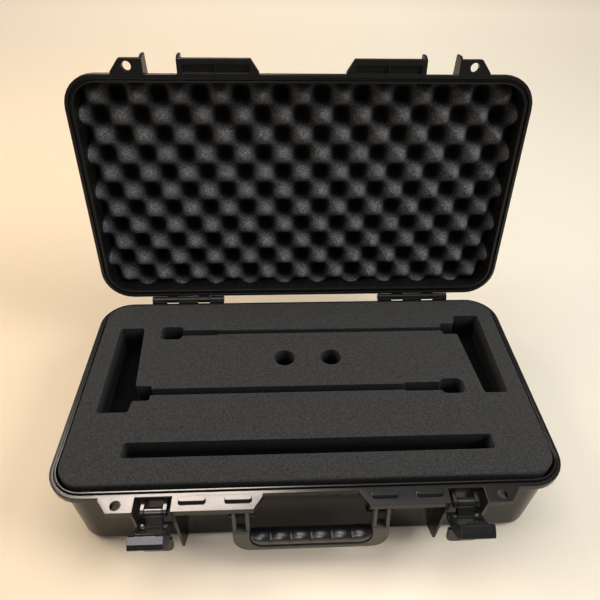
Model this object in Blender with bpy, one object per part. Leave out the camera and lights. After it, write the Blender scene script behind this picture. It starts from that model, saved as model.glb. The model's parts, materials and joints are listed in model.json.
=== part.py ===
"""Hard case for microphones, standing open: moulded base and lid, foam, hinges, latches, handle.

Metres, +Z up. The latches and the handle face -Y, and left is -X. The origin is the centre of
the underside. Every moving body hangs from an empty on its joint axis. Its meshes are drawn in
the closed position, and the empty turns them to the position of rest, with the lid open.
"""

import math

import bmesh
import bpy

SIDES = {"left": -1, "right": 1}

# Whole case
CASE_WIDTH = 0.540
CASE_DEPTH = 0.292
BASE_HEIGHT = 0.112
LID_HEIGHT = 0.048
CORNER_RADIUS = 0.038
LEAST_CORNER_RADIUS = 0.006
WALL = 0.003
SEAT_GAP = 0.0003
RUNNING_GAP = 0.0004
OVERRUN = 0.002
CORNER_STEPS = 8
ROUND_STEPS = 20
SMALL_ROUND_STEPS = 12
FILLET_STEPS = 3
SMOOTH_ANGLE = math.radians(35)

# Base moulding
FLANGE_HEIGHT = 0.008
FLANGE_OVERHANG = 0.008
FLANGE_EDGE = 0.0006
BASE_TAPER = 0.004
BASE_EDGE_RADIUS = 0.010
FLOOR_EDGE_RADIUS = 0.007
FLOOR_THICKNESS = 0.004
RIM_FACE = 0.0042
RIM_GROOVE_WIDTH = 0.001
RIM_GROOVE_DEPTH = 0.002
RIM_LIP_WIDTH = 0.002
RIM_LIP_HEIGHT = 0.0018
FLARE_START = 0.0035
EDGE_STEPS = 4

# Front plate of the base, and the tabs of the lid above it
PLATE_REACH = 0.016
LATCH_X = 0.158
NOTCH_HALF = 0.0185
PLATE_INNER_ROOT = 0.049
PLATE_INNER_EDGE = 0.058
EAR_OUTER_EDGE = 0.202
EAR_OUTER_ROOT = 0.213
EAR_ROOT_RISE = 0.002
EAR_HOLE_X = 0.194
EAR_HOLE_OFFSET = 0.0078
EAR_HOLE_RADIUS = 0.0052
RIB_INNER_X = 0.0735
RIB_OUTER_X = 0.1193
RIB_LENGTH = 0.0268
RIB_WIDTH = 0.0076
RIB_HEIGHT = 0.0022
RIB_OFFSET = 0.0054
WINDOW_CLEARANCE = 0.0007
WINDOW_DEPTH = 0.004
WINDOW_INNER_X = 0.0595
WINDOW_OUTER_X = 0.134
WINDOW_BAR_X = 0.0968
WINDOW_BAR_WIDTH = 0.0016

# Guard fins beside the latches
FIN_THICKNESS = 0.003
FIN_SPACING = 0.0125
FIN_FRONT_DROP = 0.088
FIN_FRONT_LEAN = 0.007
FIN_OUTER_DROP = 0.058
FIN_FOOT = 0.014
LID_FIN_HEIGHT = 0.026
LID_FIN_BULGE = 0.003

# Foam in the base
FOAM_TOP_THICKNESS = 0.050
FOAM_STANDS_PROUD = 0.0075
FOAM_GAP = 0.0005
FOAM_EDGE = 0.0015
POCKET_DEPTH = 0.038
SLOT_DEPTH = 0.022
HOLE_DEPTH = 0.030
POCKET_CORNER = 0.003
SLOT_CORNER = 0.0015
FOAM_HOLE_RADIUS = 0.0126
FOAM_HOLE_Y = 0.0325
FOAM_HOLES_X = (-0.0250, 0.0327)
LEFT_POCKET_LEFT = -0.237
LEFT_POCKET_BACK = 0.089
LEFT_POCKET_BACK_RIGHT = -0.207
LEFT_POCKET_RIGHT = -0.2005
LEFT_POCKET_FRONT = -0.046
STEP_RIGHT = -0.181
STEP_BACK = -0.0085
STEP_FRONT = -0.030
RIGHT_POCKET_LEFT = 0.202
RIGHT_POCKET_BACK_LEFT = 0.2055
RIGHT_POCKET_FRONT_LEFT = 0.2105
RIGHT_POCKET_RIGHT = 0.238
RIGHT_POCKET_BACK = 0.104
RIGHT_POCKET_FRONT = -0.0287
FRONT_SLOT_LEFT = -0.198
FRONT_SLOT_RIGHT = 0.1995
FRONT_SLOT_BACK = -0.0865
FRONT_SLOT_FRONT = -0.105
LOWER_MIC_Y = -0.0175
LOWER_STEM_WIDTH = 0.0092
LOWER_BODY_LEFT = 0.1155
LOWER_BODY_WIDTH = 0.0125
LOWER_HEAD_LEFT = 0.1597
LOWER_HEAD_RIGHT = 0.1885
LOWER_HEAD_WIDTH = 0.0223
UPPER_MIC_Y = 0.0795
UPPER_HEAD_LEFT = -0.184
UPPER_HEAD_RIGHT = -0.1563
UPPER_HEAD_WIDTH = 0.0225
UPPER_BODY_RIGHT = -0.1118
UPPER_BODY_WIDTH = 0.0094
UPPER_STEM_WIDTH = 0.0063
UPPER_PLUG_LEFT = 0.183
UPPER_PLUG_WIDTH = 0.0195

# Hinges
HINGE_BEHIND = 0.006
HINGE_RISE = 0.002
LID_OPEN_ANGLE = math.radians(98)
HINGE_X = 0.158
KNUCKLE_WIDTHS = (0.020, 0.016, 0.027, 0.016, 0.020)
KNUCKLE_RADIUS = 0.0045
HINGE_PIN_RADIUS = 0.00175
LEAF_THICKNESS = 0.003
LEAF_LENGTH = 0.022
LEAF_CORNER = 0.003
HINGE_PAD_MARGIN = 0.002
SCREW_SPACING = 0.060
SCREW_HEAD_RADIUS = 0.0038
SCREW_HEAD_HEIGHT = 0.0018
SCREW_SHANK_RADIUS = 0.0018
SCREW_LENGTH = 0.009
SCREW_SLOT_WIDTH = 0.0009
SCREW_SLOT_DEPTH = 0.0007

# Lid moulding and what it holds
LID_OVERHANG = 0.007
LID_WALL = 0.0026
LID_TAPER = 0.002
LID_EDGE_RADIUS = 0.012
LID_INNER_RADIUS = 0.008
LID_FLANGE_HEIGHT = 0.007
LID_TOP_THICKNESS = 0.0035
STACK_INSET = 0.050
STACK_DEPTH = 0.0012
STACK_CLEARANCE = 0.001
LID_CLOSED_GAP = 0.0004
LID_FACE = 0.004
LID_GROOVE_WIDTH = 0.0034
LID_GROOVE_DEPTH = 0.004
LID_LIP_WIDTH = 0.0022
GASKET_HEIGHT = 0.0018
KEEPER_THICKNESS = 0.0045
EGG_PITCH = 0.024
EGG_GRID = 0.012
EGG_CORNER_STEPS = 2
EGG_BACK_ROW = 0.272
EGG_RECESS = 0.009
EGG_RELIEF = 0.020

# Latches: lever on the base, hook on the lever
LATCH_PIN_OUT = 0.009
LATCH_PIN_DROP = 0.0125
LEVER_OPEN_ANGLE = math.radians(25)
LINK_DROP = 0.0179
LINK_OUT = 0.0005
HOOK_OPEN_ANGLE = math.radians(81)
LATCH_PIN_RADIUS = 0.002
BARREL_RADIUS = 0.005
LEVER_HALF = 0.0086
BRACKET_INNER = 0.0092
BRACKET_OUTER = 0.0132
CHEEK_INNER = 0.0136
CHEEK_OUTER = 0.0166
HOOK_HALF = 0.0168
TONGUE_HALF = 0.010
BOSS_INNER = 0.0091
BOSS_RADIUS = 0.0055
BRACKET_ROOT_DROP = 0.024
LEVER_WEB = 0.003
LEVER_BLOCK = 0.0043
PLATE_TOP_DROP = 0.0285
PLATE_END_DROP = 0.0515
PLATE_THICKNESS = 0.004
PLATE_OUT = 0.0052
PLATE_LEAN = 0.0055
PLATE_CORNER = 0.006
HOOK_TOP_RISE = 0.0035
HOOK_TOP_INNER = 0.0067
HOOK_TOP_OUTER = 0.0013
HOOK_NOSE = 0.0130
HOOK_NOSE_RISE = 0.0006
TONGUE_TIP = 0.0155
TONGUE_THICKNESS = 0.0027
HOOK_THROAT = 0.0080
HOOK_FACE = 0.009
HOOK_SHOULDER = 0.031
HOOK_FOOT = 0.027
CHEEK_KNEE = 0.022
CHEEK_BACK = 0.005
HOOK_WEB = 0.0025
HOOK_WEB_FOOT = 0.0125

# Handle
HANDLE_PIN_OUT = 0.007
HANDLE_PIN_DROP = 0.0145
HANDLE_REST_ANGLE = math.radians(13)
HANDLE_HALF = 0.081
HANDLE_OPENING_HALF = 0.064
HANDLE_LENGTH = 0.054
ARM_STRIP = 0.0035
ARM_HALF = 0.0045
FORK_DEPTH = 0.030
FORK_OVERLAP = 0.003
YOKE_HALF = 0.0075
HANDLE_BAR = 0.004
HANDLE_OUTER_CORNER = 0.018
HANDLE_INNER_CORNER = 0.014
HANDLE_PIN_RADIUS = 0.00175
TEETH_X = ((0.058, 0.0615), (0.0702, 0.0745), (0.0830, 0.0860))
TOOTH_RADIUS = 0.005
TOOTH_ROOT_DROP = 0.026
STOP_DROP = 0.0165
STOP_THICKNESS = 0.003
GRIP_TOP = 0.0345
GRIP_BUMP = 0.0013
GRIP_HALF = 0.0105
FINGERS = 6
FINGER_STEPS = 8
GRIP_STEPS = 16
GRIP_CORNER_SHARE = 0.98

# Places worked out from the sizes above
LIP_OUTER = RIM_FACE + RIM_GROOVE_WIDTH
LIP_INNER = LIP_OUTER + RIM_LIP_WIDTH
HINGE_Y = CASE_DEPTH / 2 + HINGE_BEHIND
HINGE_Z = BASE_HEIGHT + HINGE_RISE
LID_RIM = LID_CLOSED_GAP - HINGE_RISE
LID_TOP = LID_RIM + LID_HEIGHT
LID_CEILING = LID_TOP - LID_TOP_THICKNESS
FRONT = -CASE_DEPTH / 2
BACK = CASE_DEPTH / 2
PLATE_FRONT = FRONT - PLATE_REACH
NOTCH_INNER = LATCH_X - NOTCH_HALF
NOTCH_OUTER = LATCH_X + NOTCH_HALF
UNDER_FLANGE = BASE_HEIGHT - FLANGE_HEIGHT + FLANGE_EDGE
FOAM_TOP = BASE_HEIGHT + FOAM_STANDS_PROUD
FOAM_SPLIT = FOAM_TOP - FOAM_TOP_THICKNESS
LATCH_PIN_Y = FRONT - LATCH_PIN_OUT
LATCH_PIN_Z = BASE_HEIGHT - LATCH_PIN_DROP
TONGUE_UNDER = LATCH_PIN_DROP + LINK_DROP + LID_CLOSED_GAP + KEEPER_THICKNESS + RUNNING_GAP
TONGUE_TOP = TONGUE_UNDER + TONGUE_THICKNESS
HOOK_TOP = TONGUE_TOP + HOOK_TOP_RISE
HANDLE_PIN_Y = FRONT - HANDLE_PIN_OUT
HANDLE_PIN_Z = BASE_HEIGHT - HANDLE_PIN_DROP
TEETH_START = TEETH_X[0][0]
TEETH_END = TEETH_X[-1][1]
HINGE_WIDTH = sum(KNUCKLE_WIDTHS)


# Outlines

def circle(centre, radius, start=0.0, end=2 * math.pi, steps=ROUND_STEPS):
    """Points of an arc; a whole circle leaves out its repeated last point."""
    whole = abs(end - start) > 2 * math.pi - math.radians(1)
    count = steps if whole else steps + 1
    angles = [start + (end - start) * i / steps for i in range(count)]
    return [(centre[0] + radius * math.cos(a), centre[1] + radius * math.sin(a)) for a in angles]


def rounded(points, radius, steps=FILLET_STEPS):
    """The polygon with each corner replaced by an arc of this radius."""
    outline = []
    for i, corner in enumerate(points):
        before = points[i - 1]
        after = points[(i + 1) % len(points)]
        back = math.atan2(before[1] - corner[1], before[0] - corner[0])
        ahead = math.atan2(after[1] - corner[1], after[0] - corner[0])
        turn = (ahead - back + math.pi) % (2 * math.pi) - math.pi
        middle = back + turn / 2
        reach = radius / abs(math.sin(turn / 2))
        centre = (corner[0] + reach * math.cos(middle), corner[1] + reach * math.sin(middle))
        first = back - math.copysign(math.pi / 2, turn)
        sweep = turn - math.copysign(math.pi, turn)
        for k in range(steps + 1):
            angle = first + sweep * k / steps
            outline.append((centre[0] + radius * math.cos(angle), centre[1] + radius * math.sin(angle)))
    return outline


def box_outline(low, high):
    return [(low[0], low[1]), (high[0], low[1]), (high[0], high[1]), (low[0], high[1])]


def case_ring(inset, height, centre_y=0.0, steps=CORNER_STEPS):
    """The case's rounded rectangle, moved inwards by the inset, at one height."""
    half_x = CASE_WIDTH / 2 - inset
    half_y = CASE_DEPTH / 2 - inset
    radius = max(CORNER_RADIUS - inset, LEAST_CORNER_RADIUS)
    ring = []
    for quarter, (sx, sy) in enumerate(((1, 1), (-1, 1), (-1, -1), (1, -1))):
        start = quarter * math.pi / 2
        corner = (sx * (half_x - radius), sy * (half_y - radius) + centre_y)
        arc = circle(corner, radius, start, start + math.pi / 2, steps)
        ring += [(x, y, height) for x, y in arc]
    return ring


def edge_arc(inset, height, radius, down, steps=EDGE_STEPS):
    """(inset, height) pairs round an edge, from the flat face to the upright wall."""
    pairs = []
    for i in range(steps + 1):
        angle = i / steps * math.pi / 2
        rise = radius * (1 - math.cos(angle))
        pairs.append((inset + radius * (1 - math.sin(angle)), height + (-rise if down else rise)))
    return pairs


# Objects

def clear_scene():
    for obj in list(bpy.data.objects):
        bpy.data.objects.remove(obj, do_unlink=True)


def material(name, colour, roughness, metallic=0.0):
    made = bpy.data.materials.new(name)
    made.use_nodes = True
    shader = made.node_tree.nodes["Principled BSDF"]
    shader.inputs["Base Color"].default_value = (*colour, 1.0)
    shader.inputs["Roughness"].default_value = roughness
    shader.inputs["Metallic"].default_value = metallic
    return made


def add_object(name, mesh_builder, look=None, parent=None, location=(0.0, 0.0, 0.0)):
    mesh = bpy.data.meshes.new(name)
    bmesh.ops.recalc_face_normals(mesh_builder, faces=mesh_builder.faces[:])
    mesh_builder.to_mesh(mesh)
    mesh_builder.free()
    mesh.shade_smooth()
    mesh.set_sharp_from_angle(angle=SMOOTH_ANGLE)
    obj = bpy.data.objects.new(name, mesh)
    if look:
        mesh.materials.append(look)
    obj.parent = parent
    obj.location = location
    bpy.context.scene.collection.objects.link(obj)
    return obj


def loft(rings, closed=False):
    """Faces between rings of equal count, with caps on the first and last unless closed."""
    bm = bmesh.new()
    rows = [[bm.verts.new(point) for point in ring] for ring in rings]
    count = len(rows[0])
    pairs = list(zip(rows, rows[1:])) + ([(rows[-1], rows[0])] if closed else [])
    for lower, upper in pairs:
        for i in range(count):
            j = (i + 1) % count
            bm.faces.new((lower[i], lower[j], upper[j], upper[i]))
    if not closed:
        bm.faces.new(list(reversed(rows[0])))
        bm.faces.new(rows[-1])
    return bm


def prism(outline, axis, low, high):
    """The outline, in the plane across the axis, extruded from low to high."""
    place = {
        "X": lambda a, b, t: (t, a, b),
        "Y": lambda a, b, t: (a, t, b),
        "Z": lambda a, b, t: (a, b, t),
    }[axis]
    return loft([[place(a, b, t) for a, b in outline] for t in (low, high)])


def cylinder(axis, centre, radius, low, high, steps=SMALL_ROUND_STEPS):
    return prism(circle(centre, radius, steps=steps), axis, low, high)


def box(low, high):
    return prism(box_outline(low[:2], high[:2]), "Z", low[2], high[2])


def empty(name, location, angle, parent=None):
    obj = bpy.data.objects.new(name, None)
    obj.empty_display_size = KNUCKLE_RADIUS
    obj.parent = parent
    obj.location = location
    obj.rotation_euler = (angle, 0.0, 0.0)
    bpy.context.scene.collection.objects.link(obj)
    return obj


def shape(target, operation, tools):
    """Applies the tools to the target as one Boolean over a hidden collection."""
    group = bpy.data.collections.new(f"{target.name} {operation.lower()}")
    group.hide_render = True
    bpy.context.scene.collection.children.link(group)
    for i, tool in enumerate(tools):
        obj = add_object(f"{target.name} {operation.lower()} {i}", tool, parent=target.parent)
        obj.location = target.location
        obj.hide_render = True
        obj.display_type = "WIRE"
        bpy.context.scene.collection.objects.unlink(obj)
        group.objects.link(obj)
    modifier = target.modifiers.new(operation.title(), "BOOLEAN")
    modifier.operation = operation
    modifier.operand_type = "COLLECTION"
    modifier.collection = group
    modifier.solver = "EXACT"


# Base

def wall_inset(height):
    """Inset of the base's inner wall at a height, along its draft."""
    top = BASE_HEIGHT - FLANGE_HEIGHT
    share = (top - height) / (top - BASE_EDGE_RADIUS)
    return FLANGE_OVERHANG + WALL + BASE_TAPER * max(share, 0.0)


def wall_middle(height):
    """Y of the middle of the front wall's thickness, where what is moulded on it takes root."""
    return FRONT + wall_inset(height) - WALL / 2


def front_plates(front, flange_y, low, high):
    """Plates and padlock ears at one rim: outlines in x and y on both sides, extruded."""
    root = flange_y + RIM_FACE - FLANGE_EDGE
    bms = []
    for side in SIDES.values():
        plate = [
            (PLATE_INNER_ROOT, root),
            (PLATE_INNER_ROOT, flange_y - EAR_ROOT_RISE),
            (PLATE_INNER_EDGE, front),
            (NOTCH_INNER, front),
            (NOTCH_INNER, root),
        ]
        ear = [
            (NOTCH_OUTER, root),
            (NOTCH_OUTER, front),
            (EAR_OUTER_EDGE, front),
            (EAR_OUTER_ROOT, flange_y - EAR_ROOT_RISE),
            (EAR_OUTER_ROOT, root),
        ]
        for outline in (plate, ear):
            bms.append(prism([(side * x, y) for x, y in outline], "Z", low, high))
    return bms


def ear_holes(hole_y, low, high):
    """The padlock holes' cutters."""
    places = [(side * EAR_HOLE_X, hole_y) for side in SIDES.values()]
    return [cylinder("Z", place, EAR_HOLE_RADIUS, low, high, ROUND_STEPS) for place in places]


def rib_bars():
    """The raised bars on the front plate, which enter the windows of the lid's tabs."""
    bars = []
    middle = FRONT - RIB_OFFSET
    for side in SIDES.values():
        for x in (RIB_INNER_X, RIB_OUTER_X):
            low = (side * x - RIB_LENGTH / 2, middle - RIB_WIDTH / 2)
            high = (side * x + RIB_LENGTH / 2, middle + RIB_WIDTH / 2)
            outline = rounded(box_outline(low, high), RIB_WIDTH / 3)
            bars.append(prism(outline, "Z", BASE_HEIGHT - OVERRUN, BASE_HEIGHT + RIB_HEIGHT))
    return bars


def guard_fins():
    """Upright fins under the front plate, beside each latch."""
    top = UNDER_FLANGE
    fins = []
    for side in SIDES.values():
        inner = NOTCH_INNER - FIN_THICKNESS
        places = (
            (inner, FIN_FRONT_DROP),
            (inner - FIN_SPACING, FIN_FRONT_DROP),
            (NOTCH_OUTER, FIN_OUTER_DROP),
        )
        for x, drop in places:
            low = BASE_HEIGHT - drop
            foot = low - FIN_FOOT
            lean = FIN_FRONT_LEAN * drop / FIN_FRONT_DROP
            outline = [
                (wall_middle(top), top),
                (PLATE_FRONT + FLANGE_EDGE, top),
                (PLATE_FRONT + lean, low),
                (wall_middle(foot), foot),
            ]
            fins.append(prism(outline, "X", side * x, side * (x + FIN_THICKNESS)))
    return fins


def latch_brackets():
    """Two plates on each latch's place that carry its pivot pin."""
    top = UNDER_FLANGE
    foot = LATCH_PIN_Z - BRACKET_ROOT_DROP + LATCH_PIN_DROP
    arc = circle((LATCH_PIN_Y, LATCH_PIN_Z), BARREL_RADIUS, math.pi / 2, 3 * math.pi / 2, ROUND_STEPS // 2)
    outline = [(wall_middle(foot), foot), (wall_middle(top), top)] + arc
    plates = []
    for side in SIDES.values():
        for hand in (-1, 1):
            centre = side * LATCH_X
            plates.append(prism(outline, "X", centre + hand * BRACKET_INNER, centre + hand * BRACKET_OUTER))
    return plates


def handle_teeth():
    """Three hanging teeth each side, which carry the handle's pins."""
    top = UNDER_FLANGE
    foot = HANDLE_PIN_Z - TOOTH_ROOT_DROP + HANDLE_PIN_DROP
    arc = circle((HANDLE_PIN_Y, HANDLE_PIN_Z), TOOTH_RADIUS, math.pi, 3 * math.pi / 2, ROUND_STEPS // 4)
    outline = [(wall_middle(foot), foot), (wall_middle(top), top)]
    outline += [(HANDLE_PIN_Y - TOOTH_RADIUS, top)] + arc
    teeth = []
    for side in SIDES.values():
        for inner, outer in TEETH_X:
            teeth.append(prism(outline, "X", side * inner, side * outer))
    return teeth


def handle_stops():
    """A rib each side, on which the hanging handle's arms rest."""
    drop = STOP_DROP * math.tan(HANDLE_REST_ANGLE)
    back_of_arm = ARM_HALF / math.cos(HANDLE_REST_ANGLE) + SEAT_GAP
    tip = HANDLE_PIN_Y - drop + back_of_arm
    top = HANDLE_PIN_Z - STOP_DROP
    lower_tip = tip - STOP_THICKNESS * math.tan(HANDLE_REST_ANGLE)
    outline = [
        (wall_middle(top), top),
        (tip, top),
        (lower_tip, top - STOP_THICKNESS),
        (wall_middle(top - STOP_THICKNESS), top - STOP_THICKNESS),
    ]
    return [prism(outline, "X", side * TEETH_START, side * TEETH_END) for side in SIDES.values()]


def hinge_pads(back, low, high, low_depth, high_depth):
    """Thick pads behind each hinge leaf, flush with the flange and rooted in the wall."""
    half = HINGE_WIDTH / 2 + HINGE_PAD_MARGIN
    outline = [(back, low), (back, high), (back - high_depth, high), (back - low_depth, low)]
    return [prism(outline, "X", side * HINGE_X - half, side * HINGE_X + half) for side in SIDES.values()]


def screw_places():
    """(side, hand, x) of the screws in one leaf of each hinge."""
    return [
        (side, hand, sign * HINGE_X + turn * SCREW_SPACING / 2)
        for side, sign in SIDES.items()
        for hand, turn in (("inner", -sign), ("outer", sign))
    ]


def build_base(looks):
    """The base's moulding. Its underside has a raised panel, which sits in the recess of a lid below."""
    panel = STACK_INSET + STACK_DEPTH + STACK_CLEARANCE
    profile = [(panel, 0.0), (panel - STACK_DEPTH, STACK_DEPTH)]
    profile += edge_arc(FLANGE_OVERHANG + BASE_TAPER, STACK_DEPTH, BASE_EDGE_RADIUS, down=False)
    profile += [
        (FLANGE_OVERHANG, BASE_HEIGHT - FLANGE_HEIGHT),
        (FLANGE_EDGE, BASE_HEIGHT - FLANGE_HEIGHT),
        (0.0, BASE_HEIGHT - FLANGE_HEIGHT + FLANGE_EDGE),
        (0.0, BASE_HEIGHT - FLANGE_EDGE),
        (FLANGE_EDGE, BASE_HEIGHT),
        (RIM_FACE, BASE_HEIGHT),
        (RIM_FACE, BASE_HEIGHT - RIM_GROOVE_DEPTH),
        (LIP_OUTER, BASE_HEIGHT - RIM_GROOVE_DEPTH),
        (LIP_OUTER, BASE_HEIGHT + RIM_LIP_HEIGHT),
        (LIP_INNER, BASE_HEIGHT + RIM_LIP_HEIGHT),
        (LIP_INNER, BASE_HEIGHT - FLARE_START),
        (FLANGE_OVERHANG + WALL, BASE_HEIGHT - FLANGE_HEIGHT),
    ]
    inner_wall = wall_inset(FLOOR_THICKNESS + FLOOR_EDGE_RADIUS)
    inner = edge_arc(inner_wall, FLOOR_THICKNESS, FLOOR_EDGE_RADIUS, down=False)
    profile += list(reversed(inner))
    shell = add_object("base_shell", loft([case_ring(inset, z) for inset, z in profile]), looks["shell"])

    low = BASE_HEIGHT - FLANGE_HEIGHT
    pad_low = HINGE_Z - KNUCKLE_RADIUS - RUNNING_GAP - LEAF_LENGTH - HINGE_PAD_MARGIN
    pad_high = low + FLANGE_EDGE
    added = front_plates(PLATE_FRONT, FRONT, low, BASE_HEIGHT)
    added += rib_bars() + guard_fins() + latch_brackets() + handle_teeth() + handle_stops()
    depths = [wall_inset(z) - WALL / 2 for z in (pad_low, pad_high)]
    added += hinge_pads(BACK, pad_low, pad_high, *depths)
    shape(shell, "UNION", added)

    cuts = ear_holes(FRONT - EAR_HOLE_OFFSET, low - OVERRUN, BASE_HEIGHT + OVERRUN)
    reach = BRACKET_OUTER + OVERRUN
    latch_hole = LATCH_PIN_RADIUS + SEAT_GAP
    handle_hole = HANDLE_PIN_RADIUS + SEAT_GAP
    for side in SIDES.values():
        x = side * LATCH_X
        cuts.append(cylinder("X", (LATCH_PIN_Y, LATCH_PIN_Z), latch_hole, x - reach, x + reach))
        ends = (side * (TEETH_START - OVERRUN), side * (TEETH_END + OVERRUN))
        cuts.append(cylinder("X", (HANDLE_PIN_Y, HANDLE_PIN_Z), handle_hole, *ends))
    screw_z = HINGE_Z - KNUCKLE_RADIUS - RUNNING_GAP - LEAF_LENGTH / 2
    for _, _, x in screw_places():
        bottom = BACK - SCREW_LENGTH + LEAF_THICKNESS - SEAT_GAP
        cuts.append(cylinder("Y", (x, screw_z), SCREW_SHANK_RADIUS + SEAT_GAP, bottom, BACK + OVERRUN))
    shape(shell, "DIFFERENCE", cuts)


def build_base_foam(looks):
    """The cut layer, whose top stands proud of the rim and enters the closed lid, and the layer below."""
    top_inset = lid_wall_inset(LID_RIM + FOAM_STANDS_PROUD) + FOAM_GAP
    edge = [
        (wall_inset(FOAM_SPLIT) + FOAM_GAP, FOAM_SPLIT),
        (wall_inset(BASE_HEIGHT) + FOAM_GAP, BASE_HEIGHT - FLANGE_HEIGHT - FOAM_GAP),
        (top_inset, BASE_HEIGHT - FLARE_START),
        (top_inset, FOAM_TOP - FOAM_EDGE),
        (top_inset + FOAM_EDGE, FOAM_TOP),
    ]
    top = add_object("base_foam_top", loft([case_ring(inset, z) for inset, z in edge]), looks["foam"])
    shape(top, "DIFFERENCE", foam_cuts())

    floor = FLOOR_THICKNESS + SEAT_GAP
    low_inset = wall_inset(FLOOR_THICKNESS + FLOOR_EDGE_RADIUS) + FOAM_GAP
    edge = [
        (low_inset + FLOOR_EDGE_RADIUS, floor),
        (low_inset, floor + FLOOR_EDGE_RADIUS),
        (wall_inset(FOAM_SPLIT) + FOAM_GAP, FOAM_SPLIT - SEAT_GAP),
    ]
    add_object("base_foam_bottom", loft([case_ring(inset, z) for inset, z in edge]), looks["foam"])


def foam_cut(outline, corner, depth):
    """A cutter down to this depth, with its corners rounded where a radius is given."""
    if corner:
        outline = rounded(outline, corner)
    return prism(outline, "Z", FOAM_TOP - depth, FOAM_TOP + OVERRUN)


def foam_bar(left, right, middle_y, width, corner, depth):
    outline = box_outline((left, middle_y - width / 2), (right, middle_y + width / 2))
    return foam_cut(outline, corner, depth)


def foam_cuts():
    """Pockets, microphone slots and holes pressed out of the top layer."""
    left = [
        (LEFT_POCKET_LEFT, LEFT_POCKET_FRONT),
        (LEFT_POCKET_RIGHT - SLOT_CORNER, LEFT_POCKET_FRONT),
        (LEFT_POCKET_RIGHT, STEP_FRONT),
        (STEP_RIGHT, STEP_FRONT),
        (STEP_RIGHT, STEP_BACK),
        (LEFT_POCKET_RIGHT, STEP_BACK),
        (LEFT_POCKET_BACK_RIGHT, LEFT_POCKET_BACK),
        (LEFT_POCKET_LEFT, LEFT_POCKET_BACK),
    ]
    plug_front = UPPER_MIC_Y - UPPER_PLUG_WIDTH / 2
    plug_back = UPPER_MIC_Y + UPPER_PLUG_WIDTH / 2
    right = [
        (RIGHT_POCKET_FRONT_LEFT, RIGHT_POCKET_FRONT),
        (RIGHT_POCKET_RIGHT, RIGHT_POCKET_FRONT),
        (RIGHT_POCKET_RIGHT, RIGHT_POCKET_BACK),
        (RIGHT_POCKET_BACK_LEFT, RIGHT_POCKET_BACK),
        (RIGHT_POCKET_LEFT, plug_back),
        (UPPER_PLUG_LEFT, plug_back),
        (UPPER_PLUG_LEFT, plug_front),
        (RIGHT_POCKET_LEFT, plug_front),
    ]
    cuts = [foam_cut(outline, POCKET_CORNER, POCKET_DEPTH) for outline in (left, right)]
    front = box_outline((FRONT_SLOT_LEFT, FRONT_SLOT_FRONT), (FRONT_SLOT_RIGHT, FRONT_SLOT_BACK))
    cuts.append(foam_cut(front, POCKET_CORNER, POCKET_DEPTH))
    bars = (
        (STEP_RIGHT - OVERRUN, LOWER_BODY_LEFT + OVERRUN, LOWER_MIC_Y, LOWER_STEM_WIDTH, SLOT_CORNER),
        (LOWER_BODY_LEFT, LOWER_HEAD_LEFT + OVERRUN, LOWER_MIC_Y, LOWER_BODY_WIDTH, LOWER_BODY_WIDTH / 3),
        (LOWER_HEAD_LEFT, LOWER_HEAD_RIGHT, LOWER_MIC_Y, LOWER_HEAD_WIDTH, LOWER_HEAD_WIDTH / 3),
        (UPPER_HEAD_LEFT, UPPER_HEAD_RIGHT, UPPER_MIC_Y, UPPER_HEAD_WIDTH, UPPER_HEAD_WIDTH / 4),
        (UPPER_HEAD_RIGHT - OVERRUN, UPPER_BODY_RIGHT, UPPER_MIC_Y, UPPER_BODY_WIDTH, SLOT_CORNER),
        (UPPER_BODY_RIGHT - OVERRUN, UPPER_PLUG_LEFT + OVERRUN, UPPER_MIC_Y, UPPER_STEM_WIDTH, SLOT_CORNER),
    )
    cuts += [foam_bar(*bar, SLOT_DEPTH) for bar in bars]
    for x in FOAM_HOLES_X:
        cuts.append(foam_cut(circle((x, FOAM_HOLE_Y), FOAM_HOLE_RADIUS), 0.0, HOLE_DEPTH))
    return cuts


# Lid, drawn closed, from its hinge axis

def lid_ring(inset, height, steps=CORNER_STEPS):
    return case_ring(inset, height, -HINGE_Y, steps)


def lid_wall_inset(height):
    """Inset of the lid's inner wall at a height, along its draft."""
    share = (height - LID_RIM) / (LID_CEILING - LID_RIM)
    return LID_OVERHANG + LID_WALL + LID_TAPER * min(max(share, 0.0), 1.0)


def lid_wall_middle(height):
    """Inset of the middle of the lid's wall at a height, along the outside's draft."""
    low = LID_RIM + LID_FLANGE_HEIGHT
    share = (height - low) / (LID_TOP - LID_EDGE_RADIUS - low)
    return LID_OVERHANG + LID_TAPER * min(max(share, 0.0), 1.0) + LID_WALL / 2


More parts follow.
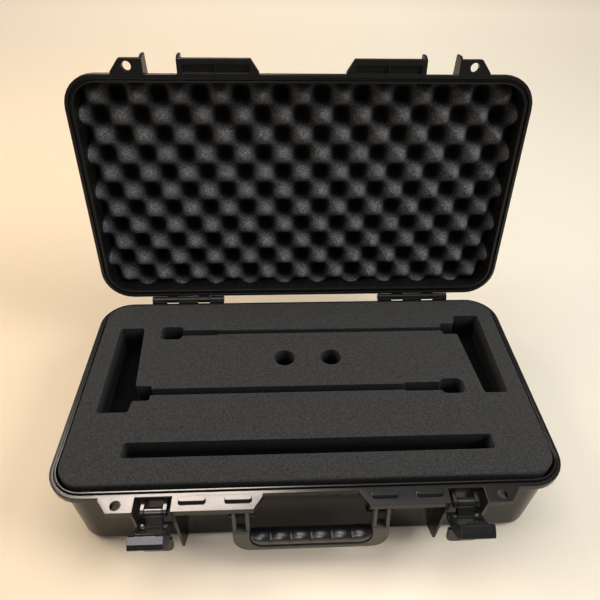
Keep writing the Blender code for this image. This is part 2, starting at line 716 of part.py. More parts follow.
def build_lid(looks, pivot):
    """The lid's moulding. A shallow recess in its top takes the raised underside of a case above."""
    top_inset = LID_OVERHANG + LID_TAPER
    groove_end = LID_FACE + LID_GROOVE_WIDTH
    profile = [
        (STACK_INSET + STACK_DEPTH, LID_TOP - STACK_DEPTH),
        (STACK_INSET, LID_TOP),
    ]
    profile += edge_arc(top_inset, LID_TOP, LID_EDGE_RADIUS, down=True)
    profile += [
        (LID_OVERHANG, LID_RIM + LID_FLANGE_HEIGHT),
        (FLANGE_EDGE, LID_RIM + LID_FLANGE_HEIGHT),
        (0.0, LID_RIM + LID_FLANGE_HEIGHT - FLANGE_EDGE),
        (0.0, LID_RIM + FLANGE_EDGE),
        (FLANGE_EDGE, LID_RIM),
        (LID_FACE, LID_RIM),
        (LID_FACE, LID_RIM + LID_GROOVE_DEPTH),
        (groove_end, LID_RIM + LID_GROOVE_DEPTH),
        (groove_end, LID_RIM),
        (groove_end + LID_LIP_WIDTH, LID_RIM),
        (LID_OVERHANG + LID_WALL, LID_RIM + LID_FLANGE_HEIGHT),
    ]
    inner = edge_arc(lid_wall_inset(LID_CEILING), LID_CEILING, LID_INNER_RADIUS, down=True)
    profile += list(reversed(inner))
    rings = [lid_ring(inset, z) for inset, z in profile]
    shell = add_object("lid_shell", loft(rings), looks["shell"], pivot)

    front = FRONT - HINGE_Y
    high = LID_RIM + LID_FLANGE_HEIGHT
    leaf_start = KNUCKLE_RADIUS + RUNNING_GAP
    added = front_plates(PLATE_FRONT - HINGE_Y, front, LID_RIM, high)
    added += lid_fins(front)
    pad_top = leaf_start + LEAF_LENGTH + HINGE_PAD_MARGIN
    pad_low = high - FLANGE_EDGE
    depths = [lid_wall_middle(z) for z in (pad_low, pad_top)]
    added += hinge_pads(BACK - HINGE_Y, pad_low, pad_top, *depths)
    shape(shell, "UNION", added)

    cuts = ear_holes(front - EAR_HOLE_OFFSET, LID_RIM - OVERRUN, high + OVERRUN)
    cuts += tab_windows(front) + keeper_steps(front, high)
    screw_z = leaf_start + LEAF_LENGTH / 2
    for _, _, x in screw_places():
        bottom = BACK - HINGE_Y - SCREW_LENGTH + LEAF_THICKNESS - SEAT_GAP
        top = BACK - HINGE_Y + OVERRUN
        cuts.append(cylinder("Y", (x, screw_z), SCREW_SHANK_RADIUS + SEAT_GAP, bottom, top))
    shape(shell, "DIFFERENCE", cuts)


def lid_fins(front):
    """Fins behind the tabs and ears, which guard the closed hooks."""
    low = LID_RIM + FLANGE_EDGE
    tip = front - PLATE_REACH
    flange_root = front + LID_FACE - FLANGE_EDGE
    flange_top = LID_RIM + LID_FLANGE_HEIGHT - FLANGE_EDGE
    top = LID_RIM + LID_FIN_HEIGHT
    outline = [
        (flange_root, low),
        (tip + FLANGE_EDGE, low),
        (tip - LID_FIN_BULGE, low + LID_FLANGE_HEIGHT),
        (tip - LID_FIN_BULGE, top - LID_FLANGE_HEIGHT),
        (front + lid_wall_middle(top), top),
        (front + lid_wall_middle(flange_top), flange_top),
        (flange_root, flange_top),
    ]
    fins = []
    for side in SIDES.values():
        for x in (NOTCH_INNER - FIN_THICKNESS, NOTCH_OUTER):
            fins.append(prism(outline, "X", side * x, side * (x + FIN_THICKNESS)))
    return fins


def tab_windows(front):
    """Two blind windows in each tab, over the base's ribs."""
    middle = front - RIB_OFFSET
    half = RIB_WIDTH / 2 + WINDOW_CLEARANCE
    spans = (
        (WINDOW_INNER_X, WINDOW_BAR_X - WINDOW_BAR_WIDTH / 2),
        (WINDOW_BAR_X + WINDOW_BAR_WIDTH / 2, WINDOW_OUTER_X),
    )
    cuts = []
    for side in SIDES.values():
        for inner, outer in spans:
            low = (side * inner, middle - half, LID_RIM - OVERRUN)
            cuts.append(box(low, (side * outer, middle + half, LID_RIM + WINDOW_DEPTH)))
    return cuts


def keeper_steps(front, high):
    """The thinned flange between ear and tab, which the hook's tongue grips."""
    half = NOTCH_HALF - FIN_THICKNESS / 2
    cuts = []
    for side in SIDES.values():
        x = side * LATCH_X
        low = (x - half, front - OVERRUN, LID_RIM + KEEPER_THICKNESS)
        cuts.append(box(low, (x + half, front + LID_OVERHANG, high + OVERRUN)))
    return cuts


def build_gasket(looks, pivot):
    """The rubber ring pressed into the lid's groove."""
    outer = LID_FACE + SEAT_GAP
    inner = LID_FACE + LID_GROOVE_WIDTH - SEAT_GAP
    top = LID_RIM + LID_GROOVE_DEPTH - SEAT_GAP
    corners = ((outer, top), (inner, top), (inner, top - GASKET_HEIGHT), (outer, top - GASKET_HEIGHT))
    ring = loft([lid_ring(*corner) for corner in corners], closed=True)
    add_object("lid_gasket", ring, looks["rubber"], pivot)


def build_lid_foam(looks, pivot):
    """Egg-crate foam: a height field of staggered peaks, trimmed to the lid's inside."""
    half_count = math.ceil(CASE_WIDTH / 2 / EGG_GRID)
    rows = math.ceil(CASE_DEPTH / EGG_GRID) + 1
    far = EGG_BACK_ROW + EGG_PITCH
    back = LID_CEILING + OVERRUN
    valley = LID_RIM + EGG_RECESS + EGG_RELIEF
    bm = bmesh.new()
    grid = []
    for row in range(rows):
        reach = far - row * EGG_GRID
        line = []
        for column in range(-half_count, half_count + 1):
            x = column * EGG_GRID
            across = math.cos(math.pi * x / EGG_PITCH)
            along = math.cos(math.pi * (reach - EGG_BACK_ROW) / EGG_PITCH)
            rise = EGG_RELIEF * (1 + across * along) / 2
            line.append(bm.verts.new((x, -reach, valley - rise)))
        grid.append(line)
    for first, second in zip(grid, grid[1:]):
        for i in range(len(first) - 1):
            bm.faces.new((first[i], first[i + 1], second[i + 1], second[i]))
    border = grid[0] + [line[-1] for line in grid[1:-1]] + grid[-1][::-1]
    border += [line[0] for line in reversed(grid[1:-1])]
    above = [bm.verts.new((v.co.x, v.co.y, back)) for v in border]
    count = len(border)
    for i in range(count):
        j = (i + 1) % count
        bm.faces.new((border[i], border[j], above[j], above[i]))
    bm.faces.new(above)
    foam = add_object("lid_foam", bm, looks["foam"], pivot)
    ceiling = LID_CEILING - SEAT_GAP
    side = lid_wall_inset(LID_CEILING) + FOAM_GAP
    edge = [
        (lid_wall_inset(LID_RIM) + FOAM_GAP, LID_RIM),
        (side, ceiling - LID_INNER_RADIUS),
        (side + LID_INNER_RADIUS, ceiling),
    ]
    shape(foam, "INTERSECT", [loft([lid_ring(inset, z, EGG_CORNER_STEPS) for inset, z in edge])])


# Hinges

def leaf(x, direction):
    """Plate and knuckles of a leaf about the hinge axis: -1 hangs on the base, +1 stands on the lid."""
    start = direction * (KNUCKLE_RADIUS + RUNNING_GAP)
    inner = -HINGE_BEHIND + SEAT_GAP
    outer = inner + LEAF_THICKNESS
    left = x - HINGE_WIDTH / 2
    outline = box_outline((left, start), (left + HINGE_WIDTH, start + direction * LEAF_LENGTH))
    plate = prism(rounded(outline, LEAF_CORNER), "Y", inner, outer)
    neck = box_outline((inner, 0.0), (outer, start + direction * LEAF_CORNER))
    knuckles = []
    for i, width in enumerate(KNUCKLE_WIDTHS):
        if (i % 2 == 0) == (direction < 0):
            low = left + (RUNNING_GAP / 2 if i else 0.0)
            high = left + width - (RUNNING_GAP / 2 if i < len(KNUCKLE_WIDTHS) - 1 else 0.0)
            knuckles.append(prism(circle((0.0, 0.0), KNUCKLE_RADIUS), "X", low, high))
            knuckles.append(prism(neck, "X", low, high))
        left += width
    return plate, knuckles


def build_hinges(looks, pivot):
    inner = -HINGE_BEHIND + SEAT_GAP
    outer = inner + LEAF_THICKNESS
    seat = outer - SCREW_HEAD_HEIGHT - SEAT_GAP
    for side, sign in SIDES.items():
        x = sign * HINGE_X
        ends = (x - HINGE_WIDTH / 2 - OVERRUN, x + HINGE_WIDTH / 2 + OVERRUN)
        for where, direction, parent, place in leaf_places(pivot):
            plate, knuckles = leaf(x, direction)
            obj = add_object(f"hinge_leaf_{where}_{side}", plate, looks["hinge"], parent, place)
            shape(obj, "UNION", knuckles)
            cuts = [cylinder("X", (0.0, 0.0), HINGE_PIN_RADIUS + SEAT_GAP, *ends)]
            screw_z = direction * (KNUCKLE_RADIUS + RUNNING_GAP + LEAF_LENGTH / 2)
            for turn in (-1, 1):
                centre = (x + turn * SCREW_SPACING / 2, screw_z)
                shank = SCREW_SHANK_RADIUS + SEAT_GAP
                cuts.append(cylinder("Y", centre, shank, inner - OVERRUN, outer + OVERRUN))
                cuts.append(cylinder("Y", centre, SCREW_HEAD_RADIUS + SEAT_GAP, seat, outer + OVERRUN))
            shape(obj, "DIFFERENCE", cuts)
        pin = cylinder("X", (0.0, 0.0), HINGE_PIN_RADIUS, x - HINGE_WIDTH / 2, x + HINGE_WIDTH / 2)
        add_object(f"hinge_pin_{side}", pin, looks["steel"], None, (0.0, HINGE_Y, HINGE_Z))


def leaf_places(pivot):
    """(name, direction, parent, location) of what hangs on the base and of what turns with the lid."""
    return ("base", -1, None, (0.0, HINGE_Y, HINGE_Z)), ("lid", 1, pivot, (0.0, 0.0, 0.0))


def screw(centre, outer):
    """Head, shank and driver slot of a screw that points forward from its leaf."""
    x, z = centre
    head = cylinder("Y", centre, SCREW_HEAD_RADIUS, outer - SCREW_HEAD_HEIGHT, outer)
    shank = cylinder("Y", centre, SCREW_SHANK_RADIUS, outer - SCREW_LENGTH, outer - SCREW_HEAD_HEIGHT / 2)
    reach = SCREW_HEAD_RADIUS + OVERRUN
    low = (x - reach, outer - SCREW_SLOT_DEPTH, z - SCREW_SLOT_WIDTH / 2)
    return head, shank, box(low, (x + reach, outer + OVERRUN, z + SCREW_SLOT_WIDTH / 2))


def build_screws(looks, pivot):
    outer = -HINGE_BEHIND + SEAT_GAP + LEAF_THICKNESS
    for where, direction, parent, place in leaf_places(pivot):
        screw_z = direction * (KNUCKLE_RADIUS + RUNNING_GAP + LEAF_LENGTH / 2)
        for side, hand, x in screw_places():
            head, shank, slot = screw((x, screw_z), outer)
            obj = add_object(f"hinge_screw_{where}_{side}_{hand}", head, looks["steel"], parent, place)
            shape(obj, "UNION", [shank])
            shape(obj, "DIFFERENCE", [slot])


# Latches

def slanted_plate(outline, y_at, thickness):
    """A plate drawn in x and z, whose outer face follows y_at(z)."""
    outer = [(x, y_at(z), z) for x, z in outline]
    inner = [(x, y_at(z) + thickness, z) for x, z in outline]
    return loft([outer, inner])


def finger_plate_outline():
    """The plate in x and z: a square top edge, and round corners at the free end."""
    corner = (HOOK_HALF - PLATE_CORNER, -PLATE_END_DROP + PLATE_CORNER)
    right = circle(corner, PLATE_CORNER, 0.0, -math.pi / 2, FILLET_STEPS)
    left = [(-x, z) for x, z in reversed(right)]
    return [(HOOK_HALF, -PLATE_TOP_DROP)] + right + left + [(-HOOK_HALF, -PLATE_TOP_DROP)]


def build_lever(looks, side, pivot):
    """Lever about the base pin, drawn closed: barrel, waist, link block and finger plate."""
    barrel = cylinder("X", (0.0, 0.0), BARREL_RADIUS, -LEVER_HALF, LEVER_HALF, ROUND_STEPS)
    waist = box_outline((-LEVER_WEB - LINK_OUT, -LINK_DROP), (LEVER_WEB, 0.0))
    low = (-LINK_OUT - LEVER_BLOCK, -LINK_DROP - LEVER_BLOCK)
    block = box_outline(low, (-LINK_OUT + LEVER_BLOCK, -LINK_DROP + LEVER_BLOCK))
    neck = [
        (-LINK_OUT - LEVER_BLOCK, -LINK_DROP),
        (-LINK_OUT, -LINK_DROP),
        (-PLATE_OUT + PLATE_THICKNESS, -PLATE_TOP_DROP - LEVER_BLOCK),
        (-PLATE_OUT, -PLATE_TOP_DROP - LEVER_BLOCK),
    ]
    lever = add_object(f"latch_lever_{side}", barrel, looks["latch"], pivot)
    plate = finger_plate_outline()

    def face(z):
        share = (z + PLATE_TOP_DROP) / (PLATE_TOP_DROP - PLATE_END_DROP)
        return -PLATE_OUT + PLATE_LEAN * share

    tools = [prism(rounded(waist, LEVER_WEB / 3), "X", -LEVER_HALF, LEVER_HALF)]
    tools.append(prism(block, "X", -LEVER_HALF, LEVER_HALF))
    tools.append(prism(neck, "X", -LEVER_HALF, LEVER_HALF))
    tools.append(slanted_plate(plate, face, PLATE_THICKNESS))
    shape(lever, "UNION", tools)
    half = LEVER_HALF + OVERRUN
    hole = LATCH_PIN_RADIUS + SEAT_GAP
    holes = [cylinder("X", (0.0, 0.0), hole, -half, half)]
    holes.append(cylinder("X", (-LINK_OUT, -LINK_DROP), hole, -half, half))
    shape(lever, "DIFFERENCE", holes)
    end = CHEEK_OUTER - SEAT_GAP
    link = cylinder("X", (-LINK_OUT, -LINK_DROP), LATCH_PIN_RADIUS, -end, end)
    add_object(f"latch_link_pin_{side}", link, looks["steel"], pivot)


def build_hook(looks, side, pivot):
    """Hook about the link pin, drawn closed: bosses, cheeks, face web, head and tongue."""
    head = [
        (HOOK_THROAT, HOOK_FOOT),
        (HOOK_THROAT, TONGUE_UNDER),
        (HOOK_NOSE, TONGUE_UNDER),
        (HOOK_NOSE, TONGUE_TOP + HOOK_NOSE_RISE),
        (HOOK_TOP_INNER, HOOK_TOP),
        (HOOK_TOP_OUTER, HOOK_TOP),
        (HOOK_TOP_OUTER - HOOK_FACE + HOOK_WEB, HOOK_TOP - HOOK_WEB - HOOK_TOP_OUTER),
        (-HOOK_FACE, HOOK_SHOULDER),
        (-HOOK_FACE, HOOK_FOOT),
    ]
    tongue = box_outline((HOOK_THROAT, TONGUE_UNDER), (TONGUE_TIP, TONGUE_TOP))
    cheek = [
        (CHEEK_BACK, 0.0),
        (CHEEK_BACK, HOOK_FOOT),
        (HOOK_THROAT, HOOK_FOOT + LEVER_WEB),
        (-HOOK_FACE, HOOK_FOOT + LEVER_WEB),
        (-HOOK_FACE, CHEEK_KNEE),
        (-BOSS_RADIUS, 0.0),
    ]
    web_face = -HOOK_FACE + SEAT_GAP
    web = [
        (web_face, HOOK_SHOULDER),
        (web_face, CHEEK_KNEE),
        (web_face + HOOK_WEB / 2, HOOK_WEB_FOOT),
        (web_face + HOOK_WEB, HOOK_WEB_FOOT),
        (web_face + HOOK_WEB, HOOK_SHOULDER),
    ]
    hook = add_object(f"latch_hook_{side}", prism(head, "X", -HOOK_HALF, HOOK_HALF), looks["latch"], pivot)
    tools = [prism(tongue, "X", -TONGUE_HALF, TONGUE_HALF)]
    middle = (CHEEK_INNER + CHEEK_OUTER) / 2
    tools.append(prism(web, "X", -middle, middle))
    boss = circle((0.0, 0.0), BOSS_RADIUS)
    for hand in (-1, 1):
        tools.append(prism(cheek, "X", hand * CHEEK_INNER, hand * CHEEK_OUTER))
        tools.append(prism(boss, "X", hand * BOSS_INNER, hand * HOOK_HALF))
    shape(hook, "UNION", tools)
    end = CHEEK_OUTER + OVERRUN
    shape(hook, "DIFFERENCE", [cylinder("X", (0.0, 0.0), LATCH_PIN_RADIUS + SEAT_GAP, -end, end)])


def build_latches(looks):
    for side, sign in SIDES.items():
        place = (sign * LATCH_X, LATCH_PIN_Y, LATCH_PIN_Z)
        lever_pivot = empty(f"lever_axis_{side}", place, -LEVER_OPEN_ANGLE)
        build_lever(looks, side, lever_pivot)
        hook_pivot = empty(f"hook_axis_{side}", (0.0, -LINK_OUT, -LINK_DROP), HOOK_OPEN_ANGLE, lever_pivot)
        build_hook(looks, side, hook_pivot)
        end = BRACKET_OUTER
        pin = cylinder("X", (0.0, 0.0), LATCH_PIN_RADIUS, -end, end)
        add_object(f"latch_pivot_pin_{side}", pin, looks["steel"], None, place)


# Handle

def build_handle(looks):
    pivot = empty("handle_axis", (0.0, HANDLE_PIN_Y, HANDLE_PIN_Z), -HANDLE_REST_ANGLE)
    top = -FORK_DEPTH
    outer_centre = (HANDLE_HALF - HANDLE_OUTER_CORNER, -HANDLE_LENGTH + HANDLE_OUTER_CORNER)
    inner_bottom = -HANDLE_LENGTH + HANDLE_BAR
    inner_centre = (HANDLE_OPENING_HALF - HANDLE_INNER_CORNER, inner_bottom + HANDLE_INNER_CORNER)
    turn = (0.0, -math.pi / 2, CORNER_STEPS)
    outer = [(HANDLE_HALF, top)] + circle(outer_centre, HANDLE_OUTER_CORNER, *turn)
    inner = [(HANDLE_OPENING_HALF, top)] + circle(inner_centre, HANDLE_INNER_CORNER, *turn)
    outline = outer + [(-x, z) for x, z in reversed(outer)]
    outline += [(-x, z) for x, z in inner] + list(reversed(inner))
    frame = add_object("handle_frame", prism(outline, "Y", -YOKE_HALF, YOKE_HALF), looks["handle"], pivot)
    arm = circle((0.0, 0.0), ARM_HALF, 0.0, math.pi, ROUND_STEPS // 2)
    arm += [(-ARM_HALF, top - FORK_OVERLAP), (ARM_HALF, top - FORK_OVERLAP)]
    tools = []
    for sign in SIDES.values():
        for x in (HANDLE_HALF - ARM_STRIP, HANDLE_OPENING_HALF):
            tools.append(prism(arm, "X", sign * x, sign * (x + ARM_STRIP)))
    shape(frame, "UNION", tools)
    hole = HANDLE_PIN_RADIUS + SEAT_GAP
    holes = []
    for sign in SIDES.values():
        ends = (sign * (HANDLE_OPENING_HALF - OVERRUN), sign * (HANDLE_HALF + OVERRUN))
        holes.append(cylinder("X", (0.0, 0.0), hole, *ends))
    shape(frame, "DIFFERENCE", holes)

    for side, sign in SIDES.items():
        pin = cylinder("X", (0.0, 0.0), HANDLE_PIN_RADIUS, sign * TEETH_START, sign * TEETH_END)
        add_object(f"handle_pin_{side}", pin, looks["steel"], None, (0.0, HANDLE_PIN_Y, HANDLE_PIN_Z))
    build_grip(looks, pivot, inner_bottom, inner_centre)


def build_grip(looks, pivot, bottom, corner):
    """Soft grip in the handle's frame, with a swelling under each finger gap."""
    half = HANDLE_OPENING_HALF - 2 * SEAT_GAP
    pitch = 2 * half / FINGERS
    count = FINGERS * FINGER_STEPS
    radius = HANDLE_INNER_CORNER - 2 * SEAT_GAP
    rings = []
    for i in range(count + 1):
        x = -half + i * pitch / FINGER_STEPS
        high = -GRIP_TOP + GRIP_BUMP * math.cos(2 * math.pi * (x / pitch - 0.5))
        past = min(max(abs(x) - corner[0], 0.0), radius * GRIP_CORNER_SHARE)
        low = corner[1] - math.sqrt(radius**2 - past**2)
        middle = (high + low) / 2
        swell = 1 + GRIP_BUMP / GRIP_HALF * math.cos(2 * math.pi * (x / pitch - 0.5))
        ring = []
        for k in range(GRIP_STEPS):
            angle = 2 * math.pi * k / GRIP_STEPS
            y = GRIP_HALF * swell * math.cos(angle)
            ring.append((x, y, middle + (high - low) / 2 * math.sin(angle)))
        rings.append(ring)
    add_object("handle_grip", loft(rings), looks["grip"], pivot)


def main():
    clear_scene()
    looks = {
        "shell": material("moulded shell", (0.012, 0.012, 0.013), 0.38),
        "foam": material("foam", (0.022, 0.022, 0.024), 0.95),
        "rubber": material("gasket rubber", (0.010, 0.010, 0.010), 0.70),
        "hinge": material("hinge plastic", (0.012, 0.012, 0.013), 0.35),
        "latch": material("latch plastic", (0.013, 0.013, 0.014), 0.30),
        "handle": material("handle frame", (0.016, 0.016, 0.016), 0.50),
        "grip": material("handle grip", (0.008, 0.008, 0.009), 0.22),
        "steel": material("pin steel", (0.30, 0.30, 0.31), 0.35, 1.0),
    }
    lid_pivot = empty("lid_axis", (0.0, HINGE_Y, HINGE_Z), -LID_OPEN_ANGLE)
    build_base(looks)
    build_base_foam(looks)
    build_lid(looks, lid_pivot)
    build_gasket(looks, lid_pivot)
    build_lid_foam(looks, lid_pivot)
    build_hinges(looks, lid_pivot)
    build_screws(looks, lid_pivot)
    build_latches(looks)
    build_handle(looks)
    bpy.context.view_layer.update()


main()
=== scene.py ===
# %% [markdown]
# # A microphone case, standing open
#
# The case is a black moulded hard case. The base holds a block of dense foam with the shapes
# of two microphones cut into it, and the lid holds egg-crate foam. Plain solids of all the
# pieces were built beforehand, so this lesson adds what they can't show: rounded edges, the
# grain of moulded plastic, the open cells of foam and the soft shape of a rubber grip.
# The first step is to load those solids. They lie in one frame, in metres, with +Z up.

import json
import math

import bmesh
import bpy
import numpy as np
from mathutils import Matrix, Vector

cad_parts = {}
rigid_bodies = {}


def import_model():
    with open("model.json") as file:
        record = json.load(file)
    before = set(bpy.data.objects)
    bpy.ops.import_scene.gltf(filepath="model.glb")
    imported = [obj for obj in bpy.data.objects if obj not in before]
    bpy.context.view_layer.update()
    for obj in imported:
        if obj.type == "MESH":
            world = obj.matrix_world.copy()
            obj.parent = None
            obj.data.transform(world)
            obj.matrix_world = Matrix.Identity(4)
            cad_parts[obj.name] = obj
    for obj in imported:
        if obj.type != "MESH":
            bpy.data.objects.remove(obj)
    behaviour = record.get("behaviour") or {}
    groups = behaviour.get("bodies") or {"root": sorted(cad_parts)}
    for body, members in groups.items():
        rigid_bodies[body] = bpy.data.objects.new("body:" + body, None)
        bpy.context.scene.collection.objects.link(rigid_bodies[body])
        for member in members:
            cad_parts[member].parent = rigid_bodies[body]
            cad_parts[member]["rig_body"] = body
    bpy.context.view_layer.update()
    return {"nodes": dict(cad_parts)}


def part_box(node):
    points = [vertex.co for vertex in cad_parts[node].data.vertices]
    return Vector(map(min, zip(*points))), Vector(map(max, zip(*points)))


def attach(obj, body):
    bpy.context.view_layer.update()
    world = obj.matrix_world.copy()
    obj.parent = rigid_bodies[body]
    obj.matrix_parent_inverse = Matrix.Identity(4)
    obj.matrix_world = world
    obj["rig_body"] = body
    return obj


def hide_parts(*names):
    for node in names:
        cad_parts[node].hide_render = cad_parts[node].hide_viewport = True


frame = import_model()

# %% [markdown]
# ## Where the lid is
#
# The lid turns about the line through its two hinge pins, and the scene shows it open. Its
# pieces are easier to describe closed: flat, rim down, with the depth running forward from
# the hinges. So the lid's new pieces are worked out closed, and one matrix turns them open.

# %% The lid's own frame
MM = 0.001
CASE_HALF_WIDTH = 270 * MM
CASE_HALF_DEPTH = 146 * MM
CASE_CORNER = 38 * MM
HINGE_BACK = 152 * MM
HINGE_HEIGHT = 114 * MM
OPEN_DEGREES = 98
lid_spin = Matrix.Rotation(-math.radians(OPEN_DEGREES), 4, "X")
lid_turn = Matrix.Translation((0.0, HINGE_BACK, HINGE_HEIGHT)) @ lid_spin
case_low, case_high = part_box("base_shell")
print("base", [round(v, 3) for v in case_high - case_low], "lid open by", OPEN_DEGREES)

# %% [markdown]
# ## From numbers to a mesh
#
# Every new piece here is a grid of points: one number runs along it, the other across. The
# points come from numpy as one array, and the faces follow from the grid's size alone, so
# one helper makes them all. A second helper puts the arrays into a mesh, merges points that
# fall together at seams, and turns all faces outwards.

# %% Grids of points
MERGE_REACH = 0.01 * MM


def grid_faces(rows, columns, wrap_rows=False, wrap_columns=False):
    """Quads between neighbours on a grid: (i, j), (i, j+1), (i+1, j+1), (i+1, j)."""
    i = np.arange(rows if wrap_rows else rows - 1)
    j = np.arange(columns if wrap_columns else columns - 1)
    i, j = (a.ravel() for a in np.meshgrid(i, j, indexing="ij"))
    below = ((i + 1) % rows) * columns
    beside = (j + 1) % columns
    return np.stack([i * columns + j, i * columns + beside, below + beside, below + j], axis=1)


def read_points(mesh):
    """The points of a mesh as rows of x, y and z."""
    places = np.zeros(len(mesh.vertices) * 3)
    mesh.vertices.foreach_get("co", places)
    return places.reshape(-1, 3)


def moved(points, turn):
    """Rows of x, y and z, turned and then shifted by a matrix."""
    spin = np.array(turn)
    return points @ spin[:3, :3].T + spin[:3, 3]


def add_piece(name, points, faces, turn=None):
    """A smooth mesh object at the origin, from an array of points and a list of faces."""
    mesh = bpy.data.meshes.new(name)
    points = np.asarray(points, dtype=float).reshape(-1, 3)
    if turn is not None:
        points = moved(points, turn)
    mesh.from_pydata(points.tolist(), [], [tuple(int(k) for k in face) for face in faces])
    bm = bmesh.new()
    bm.from_mesh(mesh)
    bmesh.ops.remove_doubles(bm, verts=bm.verts, dist=MERGE_REACH)
    bmesh.ops.recalc_face_normals(bm, faces=bm.faces)
    bm.to_mesh(mesh)
    bm.free()
    mesh.shade_smooth()
    piece = bpy.data.objects.new(name, mesh)
    bpy.context.scene.collection.objects.link(piece)
    return piece


print("a closed grid of 3 by 4 points has", len(grid_faces(3, 4, True, True)), "faces")

# %% [markdown]
# ## Grain, dust and cells
#
# Three effects come back in several finishes, so each is a shader node group, built once.
# *Moulding grain* is the fine pebbled skin that a textured mould leaves. *Dust and handling*
# is a slow, cloudy change of brightness and gloss, with a few specks. *Foam cells* are the
# open cells of foam, each of which catches the light differently. All of them read object
# coordinates, so a pattern has a real size and stays on the piece when the piece moves.

# %% Node helpers
def new_group(name, inputs, outputs):
    """A shader node group with named sockets; gives the group and its two end nodes."""
    group = bpy.data.node_groups.new(name, "ShaderNodeTree")
    for title, kind, value in inputs:
        socket = group.interface.new_socket(title, in_out="INPUT", socket_type=kind)
        socket.default_value = value
    for title in outputs:
        group.interface.new_socket(title, in_out="OUTPUT", socket_type="NodeSocketFloat")
    return group, group.nodes.new("NodeGroupInput"), group.nodes.new("NodeGroupOutput")


def feed(tree, socket, value):
    """Links a socket into another, or writes a number or colour into it."""
    if isinstance(value, bpy.types.NodeSocket):
        tree.links.new(value, socket)
    elif isinstance(value, tuple):
        socket.default_value = (*value, 1.0)
    else:
        socket.default_value = value


def work(tree, operation, first, second=0.0, third=0.0):
    """One Math node: sum, product and so on of sockets or numbers."""
    node = tree.nodes.new("ShaderNodeMath")
    node.operation = operation
    for socket, value in zip(node.inputs, (first, second, third)):
        feed(tree, socket, value)
    return node.outputs[0]


def noise(tree, vector, scale, detail=2.0, roughness=0.5):
    """Fractal noise of so many cells per metre."""
    node = tree.nodes.new("ShaderNodeTexNoise")
    node.inputs["Detail"].default_value = detail
    node.inputs["Roughness"].default_value = roughness
    feed(tree, node.inputs["Scale"], scale)
    feed(tree, node.inputs["Vector"], vector)
    return node.outputs["Fac"]


def ramp(tree, value, low, high):
    """0 below the low value, 1 above the high value, and a straight line between."""
    node = tree.nodes.new("ShaderNodeMapRange")
    for number, setting in ((1, low), (2, high), (3, 0.0), (4, 1.0)):
        node.inputs[number].default_value = setting
    feed(tree, node.inputs[0], value)
    return node.outputs[0]


def blend(tree, factor, first, second):
    """Mix of two colours."""
    node = tree.nodes.new("ShaderNodeMix")
    node.data_type = "RGBA"
    for number, value in ((0, factor), (6, first), (7, second)):
        feed(tree, node.inputs[number], value)
    return node.outputs[2]


print("node groups so far:", len(bpy.data.node_groups))

# %% [markdown]
# A noise is described by its cells per metre, its detail and its roughness. A pattern shows
# only where the noise is high, so it also has two noise values: where it begins to show, and
# where it shows in full.

# %% The three effects
VECTOR = ("Vector", "NodeSocketVector", (0.0, 0.0, 0.0))
PEBBLE_SMOOTHNESS = 0.6
CLOUD_PATTERN = (22.0, 5.0, 0.62), (0.42, 0.74)
SPECK_PATTERN = (900.0, 2.0, 0.62), (0.71, 0.80)
MOTTLE = (320.0, 5.0, 0.72)


def build_grain_group():
    """Height of a pebbled skin, and fine noise for the gloss."""
    inputs = [VECTOR, ("Cells", "NodeSocketFloat", 1500.0)]
    group, start, end = new_group("moulding grain", inputs, ["Height", "Fine"])
    cells = group.nodes.new("ShaderNodeTexVoronoi")
    cells.feature = "SMOOTH_F1"
    cells.inputs["Smoothness"].default_value = PEBBLE_SMOOTHNESS
    feed(group, cells.inputs["Vector"], start.outputs["Vector"])
    feed(group, cells.inputs["Scale"], start.outputs["Cells"])
    fine = noise(group, start.outputs["Vector"], start.outputs["Cells"], 1.0)
    feed(group, end.inputs["Height"], work(group, "ADD", cells.outputs["Distance"], fine))
    feed(group, end.inputs["Fine"], fine)
    return group


def build_handling_group():
    """Clouds from a few millimetres to a hand's width, and specks of dust."""
    inputs = [VECTOR, ("Amount", "NodeSocketFloat", 0.5)]
    group, start, end = new_group("dust and handling", inputs, ["Clouds", "Specks"])
    patterns = {"Clouds": CLOUD_PATTERN, "Specks": SPECK_PATTERN}
    for title, (kind, shown) in patterns.items():
        spread = ramp(group, noise(group, start.outputs["Vector"], *kind), *shown)
        feed(group, end.inputs[title], work(group, "MULTIPLY", spread, start.outputs["Amount"]))
    return group


def build_cell_group():
    """Random brightness from cell to cell, broad mottling, and pits between the cells."""
    inputs = [VECTOR, ("Cells", "NodeSocketFloat", 1000.0)]
    group, start, end = new_group("foam cells", inputs, ["Speckle", "Height"])
    cells = group.nodes.new("ShaderNodeTexVoronoi")
    feed(group, cells.inputs["Vector"], start.outputs["Vector"])
    feed(group, cells.inputs["Scale"], start.outputs["Cells"])
    tone = group.nodes.new("ShaderNodeSeparateColor")
    feed(group, tone.inputs[0], cells.outputs["Color"])
    mottle = noise(group, start.outputs["Vector"], *MOTTLE)
    feed(group, end.inputs["Speckle"], work(group, "MULTIPLY", tone.outputs[0], mottle))
    feed(group, end.inputs["Height"], work(group, "SUBTRACT", mottle, cells.outputs["Distance"]))
    return group


grain_group = build_grain_group()
handling_group = build_handling_group()
cell_group = build_cell_group()
print("groups:", [group.name for group in bpy.data.node_groups])

# %% [markdown]
# ## The finishes
#
# The case is one family of black plastics. What tells them apart is gloss, so each has its
# own roughness: satin for the shells, smoother for latches and hinges, duller for the handle
# frame, which is also greyer. The grip is a smooth rubber with no grain. The base colour is
# nearly black and never quite neutral. Edges that hands and the mould have polished are a
# little lighter and smoother: that value is stored on the mesh when its edges are rounded,
# in a later cell. Four helpers come first, because foam and steel need them too.

